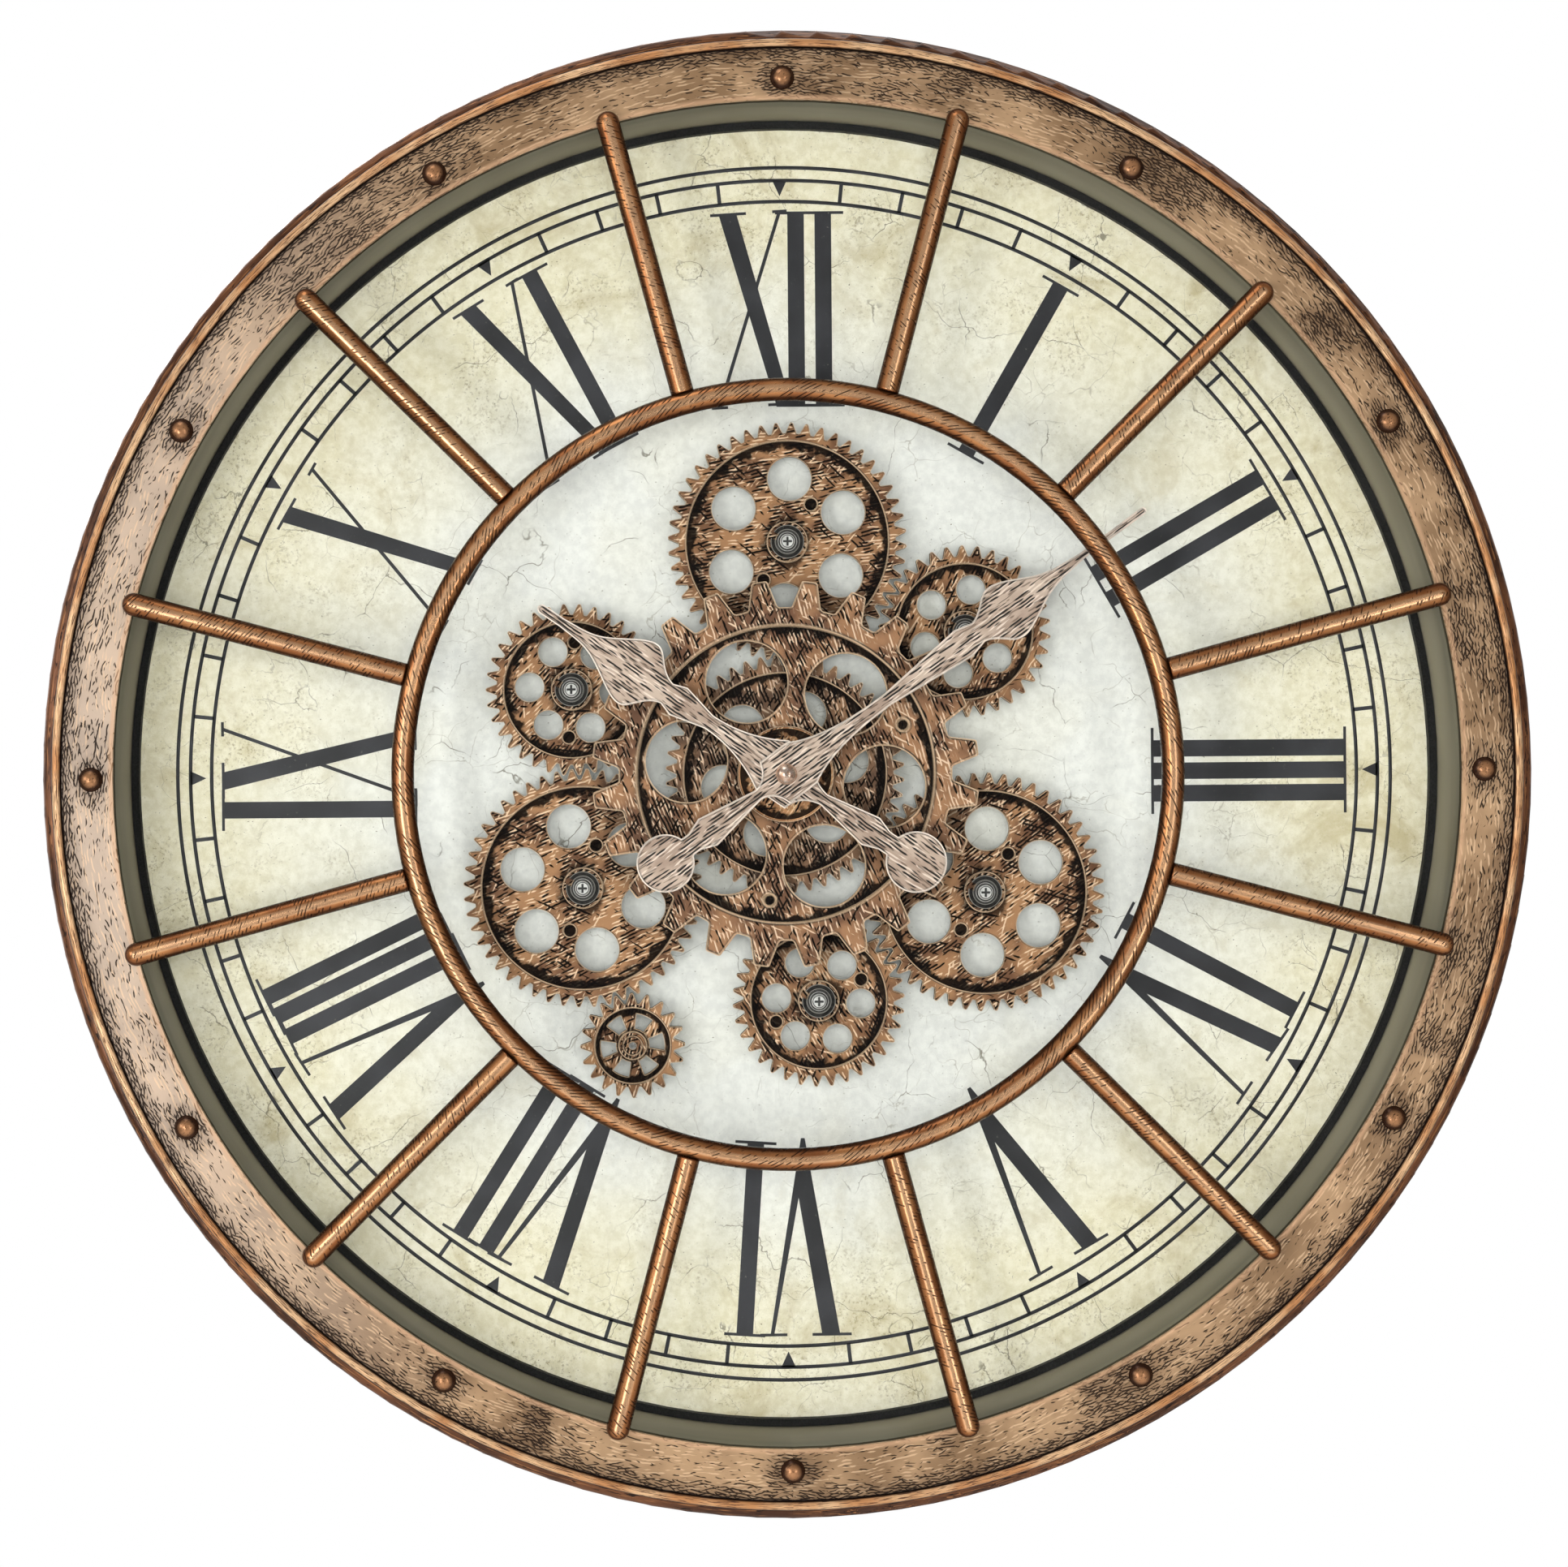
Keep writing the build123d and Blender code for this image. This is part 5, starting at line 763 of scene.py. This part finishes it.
def printed_sheet(name, outlines):
    """One thin slab of ink in the united shape of overlapping outlines."""
    points = [point for outline in outlines for point in outline]
    faces, start = [], 0
    for outline in outlines:
        faces.append(list(range(start, start + len(outline))))
        start += len(outline)
    flat, _, triangles, _, _, sources = delaunay_2d_cdt(points, [], faces, 1, 1e-4)
    kept = [list(t) for t, source in zip(triangles, sources) if source]
    count = len(flat)
    back, front = DIAL + INK_LIFT, DIAL + INK_LIFT + INK_SHEET
    places = [(p.x * MM, -depth * MM, (p.y - AXIS_DROP) * MM) for depth in (front, back) for p in flat]
    edges = {}
    for t in kept:
        for a, b in ((t[0], t[1]), (t[1], t[2]), (t[2], t[0])):
            edges[(a, b)] = True
    sides = [[b, a, a + count, b + count] for a, b in edges if (b, a) not in edges]
    made = bpy.data.meshes.new(name)
    made.from_pydata(places, [], kept + [[i + count for i in reversed(t)] for t in kept] + sides)
    made.validate()
    piece = bpy.data.objects.new(name, made)
    bpy.context.scene.collection.objects.link(piece)
    return piece


ink = printing_ink("charcoal printing ink")
numerals = printed_sheet("dial_numerals", numeral_outlines())
numerals.data.materials.append(ink)
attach(numerals, "case")


MINUTES, HOURS = 60, 12          # every fifth bar is left out for the wedge of its hour
LINE_SIDES = 360


def minute_track_nodes():
    """Geometry nodes of the track: three circles, bars between two of them at the minutes, a wedge at each
    hour."""
    tree = bpy.data.node_groups.new("minute track", "GeometryNodeTree")
    sizes = {"Outer circle": 256.35, "Middle circle": 250.95, "Inner circle": 242.05, "Line": 1.5, "Bar": 1.6,
             "Wedge height": 6.7, "Wedge base": 6.2, "Wedge point": 244.3, "Sheet": INK_SHEET}
    tree.interface.new_socket("Geometry", in_out="OUTPUT", socket_type="NodeSocketGeometry")
    for name, value in sizes.items():
        socket = tree.interface.new_socket(name, in_out="INPUT", socket_type="NodeSocketFloat")
        socket.default_value = value * MM
    socket = tree.interface.new_socket("Ink", in_out="INPUT", socket_type="NodeSocketMaterial")
    given = tree.nodes.new("NodeGroupInput").outputs
    parts = []
    profile = add(tree, "GeometryNodeCurvePrimitiveQuadrilateral",
                  {"Width": given["Line"], "Height": given["Sheet"]})
    for name in ("Outer circle", "Middle circle", "Inner circle"):
        path = add(tree, "GeometryNodeCurvePrimitiveCircle", {"Resolution": LINE_SIDES, "Radius": given[name]})
        parts.append(add(tree, "GeometryNodeCurveToMesh", {"Curve": path, "Profile Curve": profile}))
    bar_ends = {0: given["Middle circle"], 1: given["Inner circle"]}
    middle = add(tree, "ShaderNodeMath", bar_ends, operation="ADD")
    middle = add(tree, "ShaderNodeMath", {0: middle, 1: 0.5}, operation="MULTIPLY")
    length = add(tree, "ShaderNodeMath", bar_ends, operation="SUBTRACT")
    bar_size = add(tree, "ShaderNodeCombineXYZ", {0: length, 1: given["Bar"], 2: given["Sheet"]})
    bar_mesh = add(tree, "GeometryNodeMeshCube", {"Size": bar_size})
    # a prism of three sides and radius 1 is 1.5 high and the root of 3 wide
    wedge = add(tree, "GeometryNodeMeshCylinder", {"Vertices": 3, "Radius": 1.0, "Depth": 1.0})
    tall = add(tree, "ShaderNodeMath", {0: given["Wedge height"], 1: 1 / 1.5}, operation="MULTIPLY")
    wide = add(tree, "ShaderNodeMath", {0: given["Wedge base"], 1: 1 / 3 ** 0.5}, operation="MULTIPLY")
    wedge_size = add(tree, "ShaderNodeCombineXYZ", {0: tall, 1: wide, 2: given["Sheet"]})
    wedge_mesh = add(tree, "GeometryNodeTransform",
                     {"Geometry": wedge, "Rotation": (0, 0, pi), "Scale": wedge_size})
    wedge_at = add(tree, "ShaderNodeMath", {0: given["Wedge point"], 1: tall}, operation="ADD")
    number = add(tree, "GeometryNodeInputIndex")
    for mesh, count, radius, every in ((bar_mesh, MINUTES, middle, MINUTES // HOURS),
                                       (wedge_mesh, HOURS, wedge_at, 0)):
        circle = add(tree, "GeometryNodeMeshCircle", {"Vertices": count, "Radius": radius})
        turn = add(tree, "ShaderNodeMath", {0: number, 1: 2 * pi / count}, operation="MULTIPLY")
        spin = add(tree, "ShaderNodeCombineXYZ", {2: turn})
        wires = {"Points": circle, "Instance": mesh, "Rotation": spin}
        if every:
            place = add(tree, "ShaderNodeMath", {0: number, 1: float(every)}, operation="MODULO")
            wires["Selection"] = add(tree, "FunctionNodeCompare", {0: place, 1: 0.5}, operation="GREATER_THAN")
        parts.append(add(tree, "GeometryNodeInstanceOnPoints", wires))
    joined = tree.nodes.new("GeometryNodeJoinGeometry")
    for part in parts:
        tree.links.new(part, joined.inputs[0])
    upright = add(tree, "GeometryNodeTransform", {
        "Geometry": joined.outputs[0], "Rotation": (pi / 2, 0, 0),
        "Translation": (0, -(DIAL + INK_LIFT + INK_SHEET / 2) * MM, -AXIS_DROP * MM)})
    real = add(tree, "GeometryNodeRealizeInstances", {"Geometry": upright})
    inked = add(tree, "GeometryNodeSetMaterial", {"Geometry": real, "Material": given["Ink"]})
    tree.links.new(inked, tree.nodes.new("NodeGroupOutput").inputs[0])
    return tree


def made_by(name, tree, **values):
    """Mesh piece that a tree of geometry nodes makes; values go to its inputs by their names."""
    seed = bpy.data.objects.new(name, bpy.data.meshes.new(name + "_seed"))
    bpy.context.scene.collection.objects.link(seed)
    modifier = seed.modifiers.new(name, "NODES")
    modifier.node_group = tree
    for item in tree.interface.items_tree:
        if item.in_out == "INPUT" and item.name in values:
            modifier[item.identifier] = values[item.name]
    depsgraph = bpy.context.evaluated_depsgraph_get()
    mesh = bpy.data.meshes.new_from_object(seed.evaluated_get(depsgraph), depsgraph=depsgraph)
    seed.modifiers.remove(modifier)
    seed.data = mesh
    return seed


minute_track = made_by("dial_minute_track", minute_track_nodes(), Ink=ink)
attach(minute_track, "case")


# ---------------------------------------------------------------- floor, light and camera
def pale_floor(name):
    """Matt pale floor well below the clock, which only catches the light."""
    made, tree = new_material(name)
    grain = patches(tree, about(tree), 60, 0.3, 0.7, 3.0)
    surface(tree, coats(tree, "#f4f4f2", (grain, 1, "#f0f0ee")), 0.9)
    return made


scene = bpy.context.scene
FLOOR_DROP, FLOOR_RADIUS, FLOOR_FORWARD = 0.93, 1.05, 0.15     # metres
FLOOR_SIDES = 96
bearings = [2 * pi * i / FLOOR_SIDES for i in range(FLOOR_SIDES)]
corners = [(FLOOR_RADIUS * cos(b), FLOOR_RADIUS * sin(b) - FLOOR_FORWARD, -FLOOR_DROP) for b in bearings]
floor_mesh = bpy.data.meshes.new("floor")
floor_mesh.from_pydata(corners, [], [list(range(FLOOR_SIDES))])
floor_mesh.materials.append(pale_floor("pale floor"))
floor = bpy.data.objects.new("floor", floor_mesh)
scene.collection.objects.link(floor)

scene.view_settings.view_transform = "Standard"
world = bpy.data.worlds.new("white room")
scene.world = world
world.use_nodes = True
sky = world.node_tree
sky.nodes.clear()
# The camera, straight or through the glass, sees white. Matt surfaces get a little light from the room. Metal
# and glass mirror a studio that is dim in front of the clock and white behind it, brighter to the upper left.
ROOM_LIGHT = 0.25
DIM_STUDIO = 0.14
path = sky.nodes.new("ShaderNodeLightPath").outputs
bounced = add(sky, "ShaderNodeMath", {0: path["Diffuse Depth"], 1: path["Glossy Depth"]}, operation="ADD")
straight = add(sky, "ShaderNodeMath", {0: bounced, 1: 0.5}, operation="LESS_THAN")
through = add(sky, "ShaderNodeMath", {0: path["Is Transmission Ray"], 1: straight}, operation="MULTIPLY")
seen = add(sky, "ShaderNodeMath", {0: path["Is Camera Ray"], 1: through}, operation="MAXIMUM")
way = add(sky, "ShaderNodeTexCoord", out="Generated")
behind = add(sky, "ShaderNodeSeparateXYZ", {0: way}, out=1)
mirrored = add(sky, "ShaderNodeMapRange", {0: behind, 1: -0.2, 2: 0.5, 3: DIM_STUDIO, 4: 1.0})
upper_left = add(sky, "ShaderNodeVectorMath", {0: way, 1: (-0.7, 0.0, 0.7)}, out=1, operation="DOT_PRODUCT")
wall = add(sky, "ShaderNodeMapRange", {0: upper_left, 1: -0.8, 2: 0.8, 3: 0.3, 4: 1.6})
mirrored = add(sky, "ShaderNodeMath", {0: mirrored, 1: wall}, operation="MULTIPLY")
mirrored = add(sky, "ShaderNodeMath", {0: mirrored, 1: path["Is Glossy Ray"]}, operation="MULTIPLY")
strength = add(sky, "ShaderNodeMath", {0: seen, 1: mirrored}, operation="MAXIMUM")
matt = add(sky, "ShaderNodeMath", {0: path["Diffuse Depth"], 1: 0.5}, operation="GREATER_THAN")
room = add(sky, "ShaderNodeMapRange", {0: matt, 3: DIM_STUDIO, 4: ROOM_LIGHT})
strength = add(sky, "ShaderNodeMath", {0: strength, 1: room}, operation="MAXIMUM")
light = add(sky, "ShaderNodeBackground", {"Color": (1, 1, 1, 1), "Strength": strength})
add(sky, "ShaderNodeOutputWorld", {"Surface": light})


def soft_lamp(name, place, power, size, matt_only=False):
    """Square soft box that looks at the middle of the clock: its place and side in metres and its power in
    watts. One for matt surfaces only isn't mirrored in glass or metal."""
    lamp = bpy.data.lights.new(name, "AREA")
    lamp.energy = power
    lamp.size = size
    holder = bpy.data.objects.new(name, lamp)
    holder.location = place
    holder.rotation_euler = (Vector(LAMP_TARGET) - Vector(place)).to_track_quat("-Z", "Y").to_euler()
    scene.collection.objects.link(holder)
    holder.visible_glossy = holder.visible_transmission = not matt_only


# The front boxes and reflectors stand so far out that the glass doesn't mirror them to the camera. The ring
# round the camera only lights matt surfaces, as one behind a polarising filter does. The reflectors gleam on
# the copper of the bezel.
LAMP_TARGET = 0.0, -0.05, -AXIS_DROP * MM
soft_lamp("main soft box, low left", (-1.45, -3.0, -1.05), 9.5, 0.60)
soft_lamp("front soft box, right", (1.40, -3.1, -0.05), 4.2, 0.54)
soft_lamp("camera ring", (-0.04, -1.75, -0.24), 15.5, 0.6, matt_only=True)
soft_lamp("side soft box, left", (-1.7, -1.25, 0.0), 4.5, 0.74)
soft_lamp("top soft box", (-0.5, -0.6, 1.1), 3.0, 0.67)
soft_lamp("reflector, left", (-0.90, -1.7, -0.34), 3.4, 0.42)
soft_lamp("reflector, lower right", (0.82, -1.7, -0.70), 1.8, 0.3)
soft_lamp("back fill", (-0.7, 1.6, 0.6), 18.0, 1.2)

# The camera stands 1.25 m in front of the bezel, a little left of the axis and above it, and looks square at
# the dial. The lens shift brings the clock back to the middle of the frame.
EYE = (-41.0, 6.0, 1250.0)       # right of the axis, above it, in front of the bezel
FOCAL = 70.34
SENSOR = 36.0
CLOCK_ASIDE = (1.457, 3.742)     # on the bezel, how far right and up of the frame's middle its own middle shows
ROLL = 0.45                      # degrees that the clock hangs anticlockwise
lens = bpy.data.cameras.new("camera")
lens.sensor_width = SENSOR
lens.lens = FOCAL
share = FOCAL / SENSOR / EYE[2]  # of the frame's width that a millimetre on the bezel takes
roll = radians(ROLL)
lens.shift_x = (-EYE[0] * cos(roll) + EYE[1] * sin(roll) - CLOCK_ASIDE[0]) * share
lens.shift_y = (-EYE[0] * sin(roll) - EYE[1] * cos(roll) - CLOCK_ASIDE[1]) * share
camera = bpy.data.objects.new("camera", lens)
camera.location = (EYE[0] * MM, -(FRONT + EYE[2]) * MM, (EYE[1] - AXIS_DROP) * MM)
camera.rotation_euler = (pi / 2, roll, 0)
scene.collection.objects.link(camera)
scene.camera = camera
